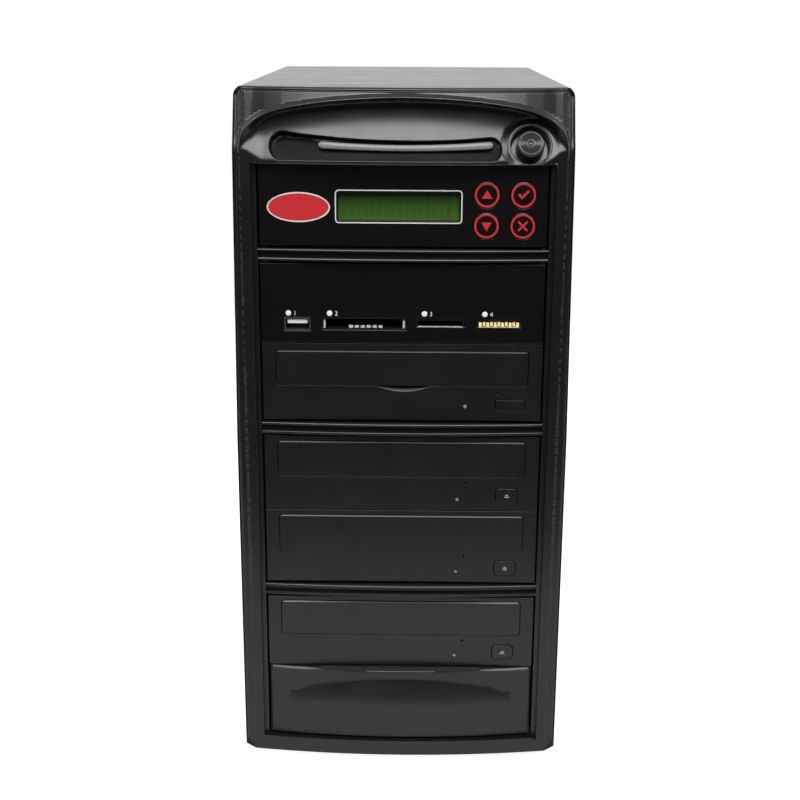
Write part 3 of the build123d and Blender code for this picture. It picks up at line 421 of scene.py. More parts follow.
def thinned(fixed, loose, gap):
    """Loose points that keep clear of the fixed ones and of each other."""
    cells = {}

    def cell(p):
        return int(p[0] // gap), int(p[1] // gap)

    def crowded(p):
        i, j = cell(p)
        return any((q[0] - p[0]) ** 2 + (q[1] - p[1]) ** 2 < gap * gap
                   for a in (i - 1, i, i + 1) for b in (j - 1, j, j + 1) for q in cells.get((a, b), ()))

    kept = []
    for p in fixed:
        cells.setdefault(cell(p), []).append(p)
    for p in loose:
        if not crowded(p):
            cells.setdefault(cell(p), []).append(p)
            kept.append(p)
    return np.array(kept)


def filled(points, rings):
    """Triangles over points of the front view; the points start with the rings, whose edges stay."""
    edges, start = [], 0
    for ring in rings:
        edges += [(start + i, start + (i + 1) % len(ring)) for i in range(len(ring))]
        start += len(ring)
    points, _, faces, *_ = delaunay_2d_cdt([Vector(p) for p in points], edges, [], 0, 1e-5)
    return np.array([tuple(p) for p in points]), np.array([f for f in faces if len(f) == 3])


def facing(points, faces, side):
    """Triangles wound to look toward -Y, side -1, or +Y, side 1."""
    a, b, c = (points[faces[:, i]] for i in range(3))
    wrong = side * np.cross(b - a, c - a)[:, 1] < 0
    faces[wrong] = faces[wrong][:, ::-1]
    return faces.tolist()


# points of the face: close along each line where it bends, in even rows between
loose = [arch[1:-1]]
loose += [moved_out(lip, gap)
          for gap in (-0.3, 0.3, -0.6, 0.6, -1.0, 1.0, -1.5, 1.4, -2.1, 1.9, -2.9, -3.8, -5.0)]
loose += [moved_out(outline, -gap, closed=True) for gap in (3.1, 3.7, 4.4, 5.2)]
loose += [moved_out(groove, -gap, closed=True)
          for gap in (-0.3, 0.3, -0.6, 0.7, -1.0, -1.5, 1.2, -2.2, 2.0, -3.0)]
loose += [seat_ring(gap) for gap in (0.15, 0.4, 0.8, 1.4, 2.2, 3.2, 4.4)]
loose += [moved_out(opening, -gap, closed=True) for gap in (0.12, 0.3, 0.6, 1.2)]
row_gap, foot_gap, cheek_gap = 1.5, 4.0, 5.0
loose.append(np.array([(x + (i % 2) * row_gap / 2, z)
                       for i, z in enumerate(np.arange(338.6, bezel_top, row_gap))
                       for x in np.arange(-top_half + 1, top_half - 1, row_gap)]))
loose.append(np.array([(x, z) for z in (6.5, 9.0, 11.5) for x in np.arange(-81, 81.1, foot_gap)]))
loose.append(np.array([(side * x, z) for side in (-1, 1) for z in np.arange(8, 338, cheek_gap)
                       for x in (79.3, 80.6, 81.6, 84.3, 85.2)]))
loose = np.vstack(loose)

border = (0.12, 0.32, 0.6, 0.95, 1.25, 1.5, 1.75, 2.0, 2.25, 2.6)
border_rings = [moved_out(outline, -gap, closed=True) for gap in border]
inner_line = border_rings[-1]
lines = (inner_line, opening, well, groove)
keep = inside(loose, inner_line) & ~inside(loose, opening) & (from_button(*loose.T) >= well_radius - 0.05)
loose = thinned(np.vstack(lines), loose[keep], 0.22)
flat_points, faces = filled(np.vstack(lines + (loose,)), lines)
middle = flat_points[faces].mean(1)
faces = faces[inside(middle, inner_line) & ~inside(middle, opening) & ~inside(middle, well)]

# the border follows the outer line in even rings
n, offset = len(outline), len(flat_points)
flat_points = np.vstack([flat_points, outline] + border_rings[:-1])
ring_starts = [offset + k * n for k in range(len(border_rings))] + [0]
border_faces = []
for a, b in zip(ring_starts[:-1], ring_starts[1:]):
    for i in range(n):
        j = (i + 1) % n
        border_faces += [(a + i, a + j, b + j), (a + i, b + j, b + i)]
faces = np.vstack([faces, border_faces])
rim, hole = slice(offset, offset + n), slice(n, n + len(opening))
mouth = slice(hole.stop, hole.stop + len(well))

# normals from the face's own slope, so that it shades as one smooth skin
y = front_face(flat_points)
probe, steepest = 0.02, 8
slope_x, slope_z = ((front_face(flat_points + way) - front_face(flat_points - way)) / (2 * probe)
                    for way in ((probe, 0), (0, probe)))
limit = np.maximum(np.hypot(slope_x, slope_z) / steepest, 1)
normal = np.column_stack([slope_x / limit, -np.ones(len(y)), slope_z / limit])
normal /= np.linalg.norm(normal, axis=1)[:, None]


def rim_normals(ring, out_part):
    """Normals along a rounded edge, leaning away from the face by out_part."""
    run = np.roll(ring, -1, 0) - np.roll(ring, 1, 0)
    run /= np.linalg.norm(run, axis=1)[:, None]
    lean_y = -math.sqrt(1 - out_part ** 2)
    return np.column_stack([-run[:, 1] * out_part, np.full(len(ring), lean_y), run[:, 0] * out_part])


normal[rim] = rim_normals(outline, 0.93)
normal[hole] = rim_normals(opening, 0.7)


class Shell:
    """Faces gathered from patches; points at one place are shared, normals are not."""
    def __init__(self):
        self.points, self.faces, self.normals = [], [], []

    def patch(self, points, faces, normals):
        """Adds faces over points, each point with its normal."""
        start = len(self.points)
        self.points += [tuple(p) for p in points]
        for face in faces:
            self.faces.append([start + i for i in face])
            self.normals += [tuple(normals[i]) for i in face]

    def wall(self, ring_a, ring_b):
        """Band between two closed rings; its faces look to the left of the first ring's run."""
        n = len(ring_a)
        a, b = np.asarray(ring_a), np.asarray(ring_b)
        quads = [(i, (i + 1) % n, n + (i + 1) % n, n + i) for i in range(n)]
        flat = np.cross(np.roll(a, -1, 0) - a, b - a)
        flat /= np.maximum(np.linalg.norm(flat, axis=1), 1e-9)[:, None]
        for i in range(n):
            j = (i + 1) % n
            before, after = flat[i - 1], flat[(i + 1) % n]
            at_i = flat[i] + before if flat[i] @ before > 0.8 else flat[i]
            at_j = flat[i] + after if flat[i] @ after > 0.8 else flat[i]
            at_i, at_j = at_i / np.linalg.norm(at_i), at_j / np.linalg.norm(at_j)
            self.patch([a[i], a[j], b[j], b[i]], [(0, 1, 2, 3)], [at_i, at_j, at_j, at_i])

    def welded(self):
        """Points, faces and per-corner normals, with no point doubled."""
        key = np.round(np.array(self.points) * 2000).astype(np.int64)
        _, index, inverse = np.unique(key, axis=0, return_index=True, return_inverse=True)
        inverse = inverse.reshape(-1)
        points = np.array(self.points)[index]
        faces, normals, at = [], [], 0
        for face in self.faces:
            ids = [int(inverse[i]) for i in face]
            if len(set(ids)) == len(ids):
                faces.append(ids)
                normals += self.normals[at:at + len(face)]
            at += len(face)
        return points, faces, normals


def at_depth(ring, depth):
    """Points of the front view at a depth."""
    ring = np.asarray(ring)
    depth = np.broadcast_to(depth, len(ring))
    return np.column_stack([ring[:, 0], depth, ring[:, 1]])


# the face, its skirts, the step round the opening and the flat back, as one closed shell
bezel = Shell()
face_points = np.column_stack([flat_points[:, 0], y, flat_points[:, 1]])
bezel.patch(face_points, facing(face_points, faces, -1), normal)
bezel.wall(face_points[rim], at_depth(outline, bezel_back))
step_ring = at_depth(opening, rebate_y)
bezel.wall(step_ring, face_points[hole])
throat = opening.copy()
throat[:, 0] = np.clip(throat[:, 0], -opening_half, opening_half)
throat_front = at_depth(throat, rebate_y)
bezel.wall(throat_front, step_ring)
bezel.wall(at_depth(throat, bezel_back), throat_front)

# the well: a short wall, an annular floor and the guide that the button slides in
across = np.array([1.0, 0, 0])
climb = np.array([0, math.sin(button_tilt), math.cos(button_tilt)])
axis = np.array([0, -math.cos(button_tilt), math.sin(button_tilt)])
centre = np.array([button_x, well_y, button_z])
well_foot, guide_radius, guide_end = -6.5, 7.25, -8.4


def button_ring(radius, rise):
    """Circle on the power button's axis."""
    a = np.linspace(0, 2 * math.pi, 64, endpoint=False)[:, None]
    return centre + radius * (np.cos(a) * across + np.sin(a) * climb) + rise * axis


upper = face_points[mouth]
for radius, rise in [(9.8, -6.0), (9.3, well_foot), (guide_radius, well_foot), (guide_radius, guide_end),
                     (0.01, guide_end)]:
    lower = button_ring(radius, rise)
    bezel.wall(lower, upper)
    upper = lower

# the back: a flat rim from the outer line to the throat
flat_back, back_faces = filled(np.vstack([outline, throat]), (outline, throat))
middle = flat_back[back_faces].mean(1)
back_faces = back_faces[inside(middle, outline) & ~inside(middle, throat)]
back_points = at_depth(flat_back, bezel_back)
bezel.patch(back_points, facing(back_points, back_faces, 1), np.tile([0, 1.0, 0], (len(back_points), 1)))
shell_points, shell_faces, shell_normals = bezel.welded()
piece("front_moulding", shell_points, shell_faces, black_abs, "root", "bezel_plastic", "front_bezel",
      normals=shell_normals)


# ------------------------------------------------------------
# Cross bars of the moulding: two thin bowed ribs with a black channel between them, under
# bays 1, 3 and 5. Same ABS as the bezel they are moulded with.

def loft(rings, capped=True):
    """Points and faces of a skin over closed rings of equally many points, with filled ends."""
    rings = np.asarray(rings, float)
    n, m = rings.shape[:2]
    faces = [(i * m + j, i * m + (j + 1) % m, (i + 1) * m + (j + 1) % m, (i + 1) * m + j)
             for i in range(n - 1) for j in range(m)]
    if capped:
        faces += [tuple(range(m - 1, -1, -1)), tuple((n - 1) * m + j for j in range(m))]
    return rings.reshape(-1, 3), faces


def together(*shells):
    """Several shells as one set of points and faces."""
    points, faces = [], []
    for shell_points, shell_faces in shells:
        faces += [tuple(i + len(points) for i in face) for face in shell_faces]
        points += [tuple(p) for p in shell_points]
    return points, faces


lowest_bay, bay_pitch, bar_pitch = 13.7, 42.5, 8.7


def bay_foot(number):
    """Height of a bay's lower edge; bay 7 is the lowest and a bar lies under bays 1, 3 and 5."""
    return lowest_bay + (7 - number) * bay_pitch + bar_pitch * sum(1 for bay in (5, 3, 1) if bay >= number)


face_y = -136.5  # front of the drive faceplates


def bar_shell(z):
    """One cross bar as a C-shaped section drawn along its bow; c is the depth of its crests."""
    rings = []
    for x in np.linspace(-75, 75, 61):
        c = face_y - 3.8 + set_back(x, 3.3, 75)
        low, high = z + 1.1, z + 7.6
        section = [(-131.6, low), (c + 0.5, low), (c + 0.12, low + 0.2), (c, low + 0.6), (c, low + 1.0),
                   (c + 0.3, low + 1.5), (c + 0.7, low + 1.6), (c + 3, low + 1.6), (c + 3, high - 1.6),
                   (c + 0.6, high - 1.6), (c + 0.12, high - 1.4), (c, high - 1.0), (c, high - 0.7),
                   (c + 0.3, high - 0.2), (c + 0.8, high), (-131.6, high)]
        rings.append([(x, a, b) for a, b in section])
    return loft(rings)


bars = together(*[bar_shell(bay_foot(bay) - bar_pitch) for bay in (1, 3, 5)])
piece("cross_bars", *bars, black_abs, "root", "bezel_plastic", "front_bezel", angle=40)


# ------------------------------------------------------------
# Trim bar: a strip of light grey ABS with soft edges, pressed into the groove, which it
# follows in its sag.

# a pale, smooth strip: the one light line in the black front
grey_abs = moulded("smooth_grey_abs", "#77777b", 0.34, 0.4, 0.004)
trim_left, trim_right, end_round = -42.6, 44.9, 0.9
rings = []
for x in np.linspace(trim_left, trim_right, 60):
    turned_end = max(0, 1 - min(x - trim_left, trim_right - x) / end_round) ** 2
    tall = 1.75 - 0.25 * (1 - (x / 44) ** 2) - end_round * turned_end
    middle_z = 346.9 - 1.5 * (1 - (x / 44.5) ** 2)
    fore = front + set_back(x, inner_rise, inner_half) + 2.5 + 0.8 * turned_end
    section = [(fore + 2.4, -tall), (fore + 0.8, -tall), (fore + 0.2, -tall + 0.3), (fore, -tall + 0.9),
               (fore + 0.1, tall - 1.0), (fore + 0.45, tall - 0.35), (fore + 1.1, tall), (fore + 2.4, tall)]
    rings.append([(x, a, middle_z + b) for a, b in section])
piece("trim_bar", *loft(rings), grey_abs, "root", "grey_trim", "slot_trim", angle=50)


# ------------------------------------------------------------
# Power button: a turned-looking cap of black ABS with fine rings round a centre dimple; it
# slides in the bezel's guide on the axis of the tilted well.

# turned-looking rings catch the light as fine concentric lines
button_abs = moulded("ringed_black_abs", "#2b2b2e", 0.30, 0.4, 0.004)
cap_radius, ring_gap, ring_high = 6.95, 0.24, 0.07
profile = [(cap_radius, -5.9), (cap_radius, 1.7), (6.8, 2.2), (6.4, 2.6), (6.0, 2.8)]
for k in range(18):
    radius = 5.7 - k * ring_gap
    dimple = 0.16 * smooth_step((2.4 - radius) / 1.2)
    profile.append((radius, 2.78 + ring_high * (-1) ** k - dimple - 0.02 * k * 0.3))
profile += [(1.3, 2.45), (0.9, 2.2), (0.3, 2.1)]
cap = loft([button_ring(radius, rise) for radius, rise in profile])
piece("power_button_cap", *cap, button_abs, "power_button", "button_plastic", "power_button", angle=60)


# ------------------------------------------------------------
# Control panel: a moulded faceplate under a smooth black film that is printed in white and
# red: a line round the display window, a bare red badge, and a ring and a sign on each of
# four round keys. The display behind the window is green, with dark character cells.

# polyester film: near black and glossy, so the panel mirrors the room as one flat sheet
film = moulded("printed_black_film", "#090909", 0.2, 0.6, 0.001)
panel_abs = moulded("satin_black_abs", "#080808", 0.2, 0.4, 0.001)
# screen-printed ink: flat, slightly chalky colour that stands out from the glossy film
white_ink = speckled("white_screen_ink", "#c9c9c6", 0.45, 1800.0, "#b4b4b2", "#d8d8d5")
red_ink = speckled("red_screen_ink", "#b3232b", 0.4, 1400.0, "#a51d26", "#c22a31")


def soft_copy(name, material, width_mm, body, segments=2):
    """A node's own solid, its edges broken by a small radius as on moulded or stamped pieces."""
    mesh = nodes[name].data.copy()
    solid = bmesh.new()
    solid.from_mesh(mesh)
    bmesh.ops.remove_doubles(solid, verts=solid.verts, dist=2e-6)
    bmesh.ops.dissolve_limit(solid, angle_limit=math.radians(1), verts=solid.verts, edges=solid.edges)
    solid.to_mesh(mesh)
    solid.free()
    mesh.polygons.foreach_set("use_smooth", [True] * len(mesh.polygons))
    mesh.materials.clear()
    mesh.materials.append(material)
    made = linked(name + "_soft", mesh)
    edge = made.modifiers.new("edge", "BEVEL")
    edge.width = width_mm * MM
    edge.segments = segments
    edge.limit_method = "ANGLE"
    edge.angle_limit = math.radians(30)
    edge.harden_normals = True
    edge.use_clamp_overlap = True
    weighted = made.modifiers.new("flat_faces", "WEIGHTED_NORMAL")
    weighted.mode = "FACE_AREA"
    weighted.weight = 100
    state = bpy.context.evaluated_depsgraph_get()
    done = bpy.data.meshes.new_from_object(
        made.evaluated_get(state), preserve_all_data_layers=True, depsgraph=state)
    made.modifiers.clear()
    made.data = done
    given(made, body, [name])


def dress(material, *names):
    """A CAD node takes a material in all its slots."""
    for name in names:
        mesh = nodes[name].data
        mesh.materials.clear()
        mesh.materials.append(material)


def plate(outline, y_front, y_back):
    """Thin plate with the outline given in the front view."""
    outline = np.asarray(outline, float)
    return loft([at_depth(outline, y_front), at_depth(outline, y_back)])


def ring_plate(outer, inner, y_front, y_back):
    """Thin plate between two outlines of equally many points."""
    rings = [at_depth(*ring) for ring in
             ((outer, y_front), (inner, y_front), (inner, y_back), (outer, y_back))]
    return loft(rings + rings[:1], capped=False)


def round_box(x, z, radius, steps=6):
    """Rectangle with round corners, in the front view."""
    centres = [(x[1] - radius, z[1] - radius), (x[0] + radius, z[1] - radius),
               (x[0] + radius, z[0] + radius), (x[1] - radius, z[0] + radius)]
    return [(cx + radius * math.cos(a), cz + radius * math.sin(a)) for k, (cx, cz) in enumerate(centres)
            for a in np.linspace(k * math.pi / 2, (k + 1) * math.pi / 2, steps + 1)]


def circle(x, z, radius, steps=48):
    """Circle in the front view."""
    a = np.linspace(0, 2 * math.pi, steps, endpoint=False)
    return np.column_stack([x + radius * np.cos(a), z + radius * np.sin(a)])


def oval(x, z, half_width, half_height):
    """Oval in the front view."""
    return [(x + half_width * math.cos(a), z + half_height * math.sin(a))
            for a in np.linspace(0, 2 * math.pi, 72, endpoint=False)]


ink_y, ink_back = face_y - 0.04, face_y + 0.1
soft_copy("control_panel", film, 0.35, "root")
window_out, window_in = (round_box(x, z, corner_radius) for x, z, corner_radius in
                         (((-34.9, 30.3), (306.8, 324.0), 2.0), ((-34.3, 29.7), (307.4, 323.4), 1.5)))
line = ring_plate(window_out, window_in, ink_y, ink_back)
piece("window_line", *line, white_ink, "root", "panel_plastic")
badge_out, badge_in = oval(-53.6, 314.9, 16.2, 7.7), oval(-53.6, 314.9, 15.5, 7.0)
piece("badge_face", *plate(badge_in, ink_y, ink_back), red_ink, "root", "panel_plastic")
piece("badge_edge", *ring_plate(badge_out, badge_in, ink_y, ink_back), white_ink, "root", "panel_plastic")

# the keys' signs: up, down, tick and cross, each round its key's centre
signs = {
    "key_up": [(-2.9, -2.0), (2.9, -2.0), (0, 2.9)],
    "key_down": [(-2.9, 2.0), (0, -2.9), (2.9, 2.0)],
    "key_enter": [(-3.3, 0.2), (-2.3, 1.1), (-0.9, -0.3), (2.5, 3.0), (3.4, 2.1), (-0.9, -2.3)],
    "key_cancel": [(-3, -2.2), (-2.2, -3), (0, -0.8), (2.2, -3), (3, -2.2), (0.8, 0),
                   (3, 2.2), (2.2, 3), (0, 0.8), (-2.2, 3), (-3, 2.2), (-0.8, 0)],
}
key_places = {"key_up": (42.8, 26.9), "key_down": (42.8, 11.1),
              "key_enter": (61.4, 26.9), "key_cancel": (61.4, 11.1)}
cap_section = [(6.75, -133.6), (6.75, face_y - 0.15), (6.6, face_y - 0.34), (6.3, face_y - 0.4),
               (0.05, face_y - 0.42)]
top, sign_scale = face_y - 0.44, 0.92
for name, (x, rise) in key_places.items():
    z = bay_foot(1) + rise
    cap = [at_depth(circle(x, z, radius), depth) for radius, depth in cap_section]
    piece(name + "_cap", *loft(cap), film, name, "key_plastic", name, angle=50)
    sign = [(x + sign_scale * a, z + sign_scale * b) for a, b in signs[name]]
    marks = together(ring_plate(circle(x, z, 6.3), circle(x, z, 5.25), top, top + 0.1),
                     plate(sign, top, top + 0.1))
    piece(name + "_mark", *marks, red_ink, name, "key_plastic", angle=20)


def display_glass(name, colour, low, high):
    """Backlit display glass, with painted shade: darker toward the top, where the panel shades it."""
    material, tree, shader, place = surface(name, colour, 0.25)
    height = add(tree, "ShaderNodeSeparateXYZ", {"Vector": place}).outputs["Z"]
    shade_toward_top = add(tree, "ShaderNodeMapRange", {"Value": height, "From Min": 0.3085, "From Max": 0.3225})
    tinted(tree, shader, shade_toward_top.outputs["Result"], low, high)
    return material


# the pane glows green through glass, and each character cell on it is a little darker
display = display_glass("green_display_glass", "#4d7a2c", "#3f6324", "#152a0c")
display_cell = display_glass("dark_display_cell", "#3b601f", "#38591f", "#11240a")


def new_tree(name, sizes):
    """Geometry tree with named inputs for sizes; returns it, its inputs and its output node."""
    tree = bpy.data.node_groups.new(name, "GeometryNodeTree")
    tree.interface.new_socket("Geometry", in_out="INPUT", socket_type="NodeSocketGeometry")
    for size in sizes:
        tree.interface.new_socket(size, in_out="INPUT", socket_type="NodeSocketFloat")
    tree.interface.new_socket("Geometry", in_out="OUTPUT", socket_type="NodeSocketGeometry")
    return tree, add(tree, "NodeGroupInput").outputs, add(tree, "NodeGroupOutput")


def grown(name, places, tree, sizes, body, slot, *replaced):
    """A tree's result on points, as one plain mesh; places and sizes in mm, tilt in radians."""
    mesh = bpy.data.meshes.new(name)
    mesh.from_pydata((np.asarray(places, float) * MM).tolist(), [], [])
    made = linked(name, mesh)
    modifier = made.modifiers.new("tree", "NODES")
    modifier.node_group = tree
    for item in tree.interface.items_tree:
        if item.in_out == "INPUT" and item.name in sizes:
            modifier[item.identifier] = sizes[item.name] * (1 if item.name == "Tilt" else MM)
    done = bpy.data.meshes.new_from_object(made.evaluated_get(bpy.context.evaluated_depsgraph_get()))
    made.modifiers.clear()
    made.data = done
    done.polygons.foreach_set("use_smooth", [True] * len(done.polygons))
    done.set_sharp_from_angle(angle=math.radians(35))
    given(made, body, replaced)


def finish_tree(tree, inputs, output, shape, material, turn=(0, 0, 0)):
    """The shape on each point, realised in its material, is the tree's result."""
    points = add(tree, "GeometryNodeMeshToPoints", {"Mesh": inputs["Geometry"]})
    spread = add(tree, "GeometryNodeInstanceOnPoints", {
        "Points": points.outputs[0], "Instance": shape, "Rotation": turn})
    solid = add(tree, "GeometryNodeRealizeInstances", {"Geometry": spread.outputs[0]})
    made = add(tree, "GeometryNodeSetMaterial", {"Geometry": solid.outputs[0], "Material": material})
    tree.links.new(made.outputs[0], output.inputs[0])


def box_tree(name, material):
    """Small boxes on points, with named width, depth and height."""
    tree, inputs, output = new_tree(name, ("Width", "Depth", "Height", "Tilt"))
    tilt = add(tree, "ShaderNodeCombineXYZ", {0: inputs["Tilt"]})
    size = add(tree, "ShaderNodeCombineXYZ", {0: inputs["Width"], 1: inputs["Depth"], 2: inputs["Height"]})
    cube = add(tree, "GeometryNodeMeshCube", {"Size": size.outputs[0]})
    finish_tree(tree, inputs, output, cube.outputs[0], material, tilt.outputs[0])
    return tree


pane_front, pane_back = (end[1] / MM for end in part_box("lcd_glass"))
piece("display_pane", *plate(round_box((-33.5, 28.9), (308.2, 322.6), 0.4), pane_front, pane_back), display,
      "root", "display_glass", "lcd_glass")
cells = [(-30.0 + 3.55 * column, pane_front - 0.03, 311.9 + 6.6 * row)
         for row in (0, 1) for column in range(16)]
grown("display_cells", cells, box_tree("character_cells", display_cell),
      {"Width": 2.95, "Depth": 0.1, "Height": 5.5}, "root", "display_glass")


# ------------------------------------------------------------
# Card reader panel: a smooth faceplate with one USB socket and three card sockets. The
# sockets are pressed nickel-plated shells round black plastic, with gold-flashed contacts.

soft_copy("reader_panel", panel_abs, 0.3, "root")


def plated(name, colour, roughness, scale, least, most, stretch=1.0):
    """Plated metal with uneven gloss; a stretch under 1 draws the marks out along X."""
    material, tree, shader, place = surface(name, colour, roughness, 1.0)
    drawn = add(tree, "ShaderNodeMapping", {"Vector": place, "Scale": (stretch, 1.0, 1.0)})
    marks = add(tree, "ShaderNodeTexNoise", {"Vector": drawn.outputs[0], "Scale": scale})
    gloss = add(tree, "ShaderNodeMapRange", {
        "Value": marks.outputs["Fac"], "To Min": least, "To Max": most})
    tree.links.new(gloss.outputs["Result"], shader.inputs["Roughness"])
    return material


# pressed shells glint in fine streaks along the sheet; the flashed contacts are paler and duller
nickel = plated("pressed_nickel_plate", "#b9b6ae", 0.28, 3000.0, 0.22, 0.36, stretch=0.15)
contact_gold = plated("gold_flashed_contact", "#cdbb86", 0.5, 900.0, 0.45, 0.6)
# the sockets' plastic swallows light; the white tongue is the one pale part in the mouth
socket_black = moulded("glass_filled_black_plastic", "#0d0d0e", 0.5, 0.3, 0.006)
tongue_nylon = moulded("white_nylon_tongue", "#d8d8d4", 0.4, 0.3, 0.003)

usb_out = round_box((-61.9, -48.2), (250.2, 257.2), 0.6)
usb_in = round_box((-61.3, -48.8), (250.8, 256.6), 0.4)
tongue, usb_deep = round_box((-60.3, -49.8), (253.9, 255.9), 0.3), face_y + 13
piece("usb_shell", *ring_plate(usb_out, usb_in, face_y - 0.1, usb_deep), nickel, "root",
      "socket_metal", "usb_socket")
piece("usb_tongue", *plate(tongue, face_y + 1.0, usb_deep), tongue_nylon, "root",
      "socket_plastic", "usb_socket")
piece("usb_back", *plate(usb_in, face_y + 9, usb_deep), socket_black, "root",
      "socket_plastic", "usb_socket")

mouths = {"cf_socket": ((-42.3, 2.1), (250.3, 257.2)), "sd_socket": ((7.1, 32.6), (251.4, 256.6)),
          "ms_socket": ((39.0, 62.2), (251.4, 256.6))}
for name, (x, z) in mouths.items():
    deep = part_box(name)[1][1] / MM
    outer, inner = (round_box((x[0] + wall, x[1] - wall), (z[0] + wall, z[1] - wall), corner_radius)
                    for wall, corner_radius in ((0.3, 0.4), (0.8, 0.3)))
    piece(name + "_shell", *ring_plate(outer, inner, face_y + 0.9, deep), socket_black, "root",
          "socket_plastic", name)
    piece(name + "_back", *plate(inner, deep - 4, deep), socket_black, "root", "socket_plastic", name)

# contacts and spring tongues, seen at an angle in the mouths
blades, springs = box_tree("contact_blades", contact_gold), box_tree("shell_springs", nickel)
staggered = [(40.9 + 1.95 * k, face_y + 1.7 + 0.2 * (k % 2), 253.6 + (0.7 if k % 2 else 0.0))
             for k in range(11)]
in_row = [(-27.0 + 3.1 * k, face_y + 2.0, 252.1) for k in range(6)]
for name, tree, places, size, tilt in (
        ("ms_contacts", blades, staggered, (1.45, 0.6, 2.6), -0.3),
        ("ms_lower_guide", springs, [(50.6, face_y + 1.6, 252.5)], (21.2, 0.6, 1.0), -0.22),
        ("sd_lower_guide", springs, [(19.85, face_y + 1.6, 252.5)], (23.4, 0.5, 0.7), -0.22),
        ("cf_guides", springs, [(x, face_y + 2.0, 253.6) for x in (-40.9, 0.7)], (1.0, 0.8, 4.6), -0.3),
        ("cf_springs", springs, in_row, (2.2, 0.5, 1.4), -0.3)):
    sizes = dict(zip(("Width", "Depth", "Height"), size), Tilt=tilt)
    grown(name, places, tree, sizes, "root", "socket_metal")

# moulded light pipes: cloudy white plastic that looks lit even when it is off
light_pipe = speckled("milky_light_pipe", "#dcdcd8", 0.3, 900.0, "#cfcfcb", "#e6e6e2")
led_places, led_z = (-59.7, -38.1, 11.5, 43.1), bay_foot(2) + 15.9
dome_section = [(1.45, 2.9), (1.45, 0.0), (1.2, -0.12), (0.7, -0.2), (0.05, -0.22)]
domes = [loft([at_depth(circle(x, led_z, radius, 24), face_y + depth) for radius, depth in dome_section])
         for x in led_places]
piece("reader_light_pipes", *together(*domes), light_pipe, "root", "light_pipe", "reader_leds")


def printed_number(number, x, z):
    """A plain number beside a socket, as flat ink."""
    name = f"socket_number_{number}"
    curve = bpy.data.curves.new(name, "FONT")
    curve.body = str(number)
    curve.size, curve.extrude = 3.4 * MM, 0.03 * MM
    source = linked(name + "_line", curve)
    mesh = bpy.data.meshes.new_from_object(source.evaluated_get(bpy.context.evaluated_depsgraph_get()))
    bpy.data.objects.remove(source)
    upright = Matrix.Rotation(math.radians(90), 4, "X")
    mesh.transform(Matrix.Translation((x * MM, ink_y * MM, z * MM)) @ upright)
    mesh.materials.clear()
    mesh.materials.append(white_ink)
    given(linked(name, mesh), "root", [])


for number, x in enumerate(led_places, 1):
    printed_number(number, x + 2.6, led_z - 1.2)


# ------------------------------------------------------------
# Optical drives: a moulded faceplate with a tray door and an eject button. The door rides
# with the loading tray; each edge is broken, and the upper edges catch the light.

# the same black moulding three times: faceplate, slightly glossier door and dull, coarse tray
drive_abs = moulded("fine_textured_black_abs", "#111112", 0.32, 0.4, 0.005)
door_abs = moulded("tray_door_black_abs", "#121213", 0.30, 0.4, 0.005)
tray_abs = moulded("tray_black_abs", "#1d1d1f", 0.45, 0.6, 0.012)
for n in range(1, 5):
    soft_copy(f"drive{n}_bezel", drive_abs, 0.3, "root")
    soft_copy(f"drive{n}_door", door_abs, 0.35, f"drive{n}_tray")
    soft_copy(f"drive{n}_eject", door_abs, 0.3, f"drive{n}_eject")
    soft_copy(f"drive{n}_tray", tray_abs, 0.25, f"drive{n}_tray", segments=1)

# indicator windows, and the small sign on the three like drives' eject buttons: clear
# plastic over a grey chip, a pale dot to the eye
lens = moulded("clear_indicator_lens", "#8f9291", 0.2, 0.5, 0.002)
lens_section = [(1.1, 2.9), (1.1, 0.9), (0.8, 0.6), (0.05, 0.5)]
sign_x, sign_y, sign_rise = (51.5 + 63.0) / 2, face_y - 0.53, (4.9 + 13.0) / 2
for n in range(1, 5):
    foot = bay_foot(n + 2)
    x, rise = (33.6, 8.0) if n == 1 else (30.3, 6.3)
    dome = [at_depth(circle(x, foot + rise, radius, 20), face_y + depth) for radius, depth in lens_section]
    piece(f"drive{n}_indicator_lens", *loft(dome), lens, "root", "light_pipe")
    if n > 1:
        z = foot + sign_rise
        wedge = [(sign_x - 1.3, z - 0.2), (sign_x + 1.3, z - 0.2), (sign_x, z + 1.1)]
        dash = round_box((sign_x - 1.3, sign_x + 1.3), (z - 1.1, z - 0.6), 0.1, 2)
        sign = together(*[plate(shape, sign_y, sign_y + 0.1) for shape in (wedge, dash)])
        piece(f"drive{n}_eject_mark", *sign, lens, f"drive{n}_eject", "drive_plastic", angle=20)


# ------------------------------------------------------------
# Filler panel: bay 7's blank, bowed in plan, with an arched finger scoop whose floor leans
# back under the arch. Same texture as the bezel, a little duller.

# a little duller than the bezel, so the blank reads as a separate moulding
filler_abs = moulded("filler_black_abs", "#131315", 0.33, 0.5, 0.007)
filler_half, foot_round, edge_round = 74.0, 3.0, 0.9
bay7 = bay_foot(7)
foot_z, head_z = bay7 + 0.25, bay7 + 42.25


def arch_height(x):
    """Lower edge of the solid brow over the scoop."""
    t = np.clip(np.abs(x) / 58.0, 0, 1)
    return bay7 + 38.5 - 9.5 * t ** 2.3


# even columns; the rows end at the brow over the scoop and go on above it
columns = np.linspace(-1, 1, 151)[None, :]
levels = np.concatenate([np.linspace(0, 1, 46)[:-1], 1 + np.linspace(0, 1, 14)])[:, None]
brow = arch_height(filler_half * columns)
grid_z = np.where(levels <= 1, foot_z + (brow - foot_z) * levels, brow + (head_z - brow) * (levels - 1))
turned_in = np.clip(foot_round - (grid_z - foot_z), 0, foot_round)
grid_x = columns * (filler_half - (foot_round - np.sqrt(np.maximum(foot_round ** 2 - turned_in ** 2, 0))))


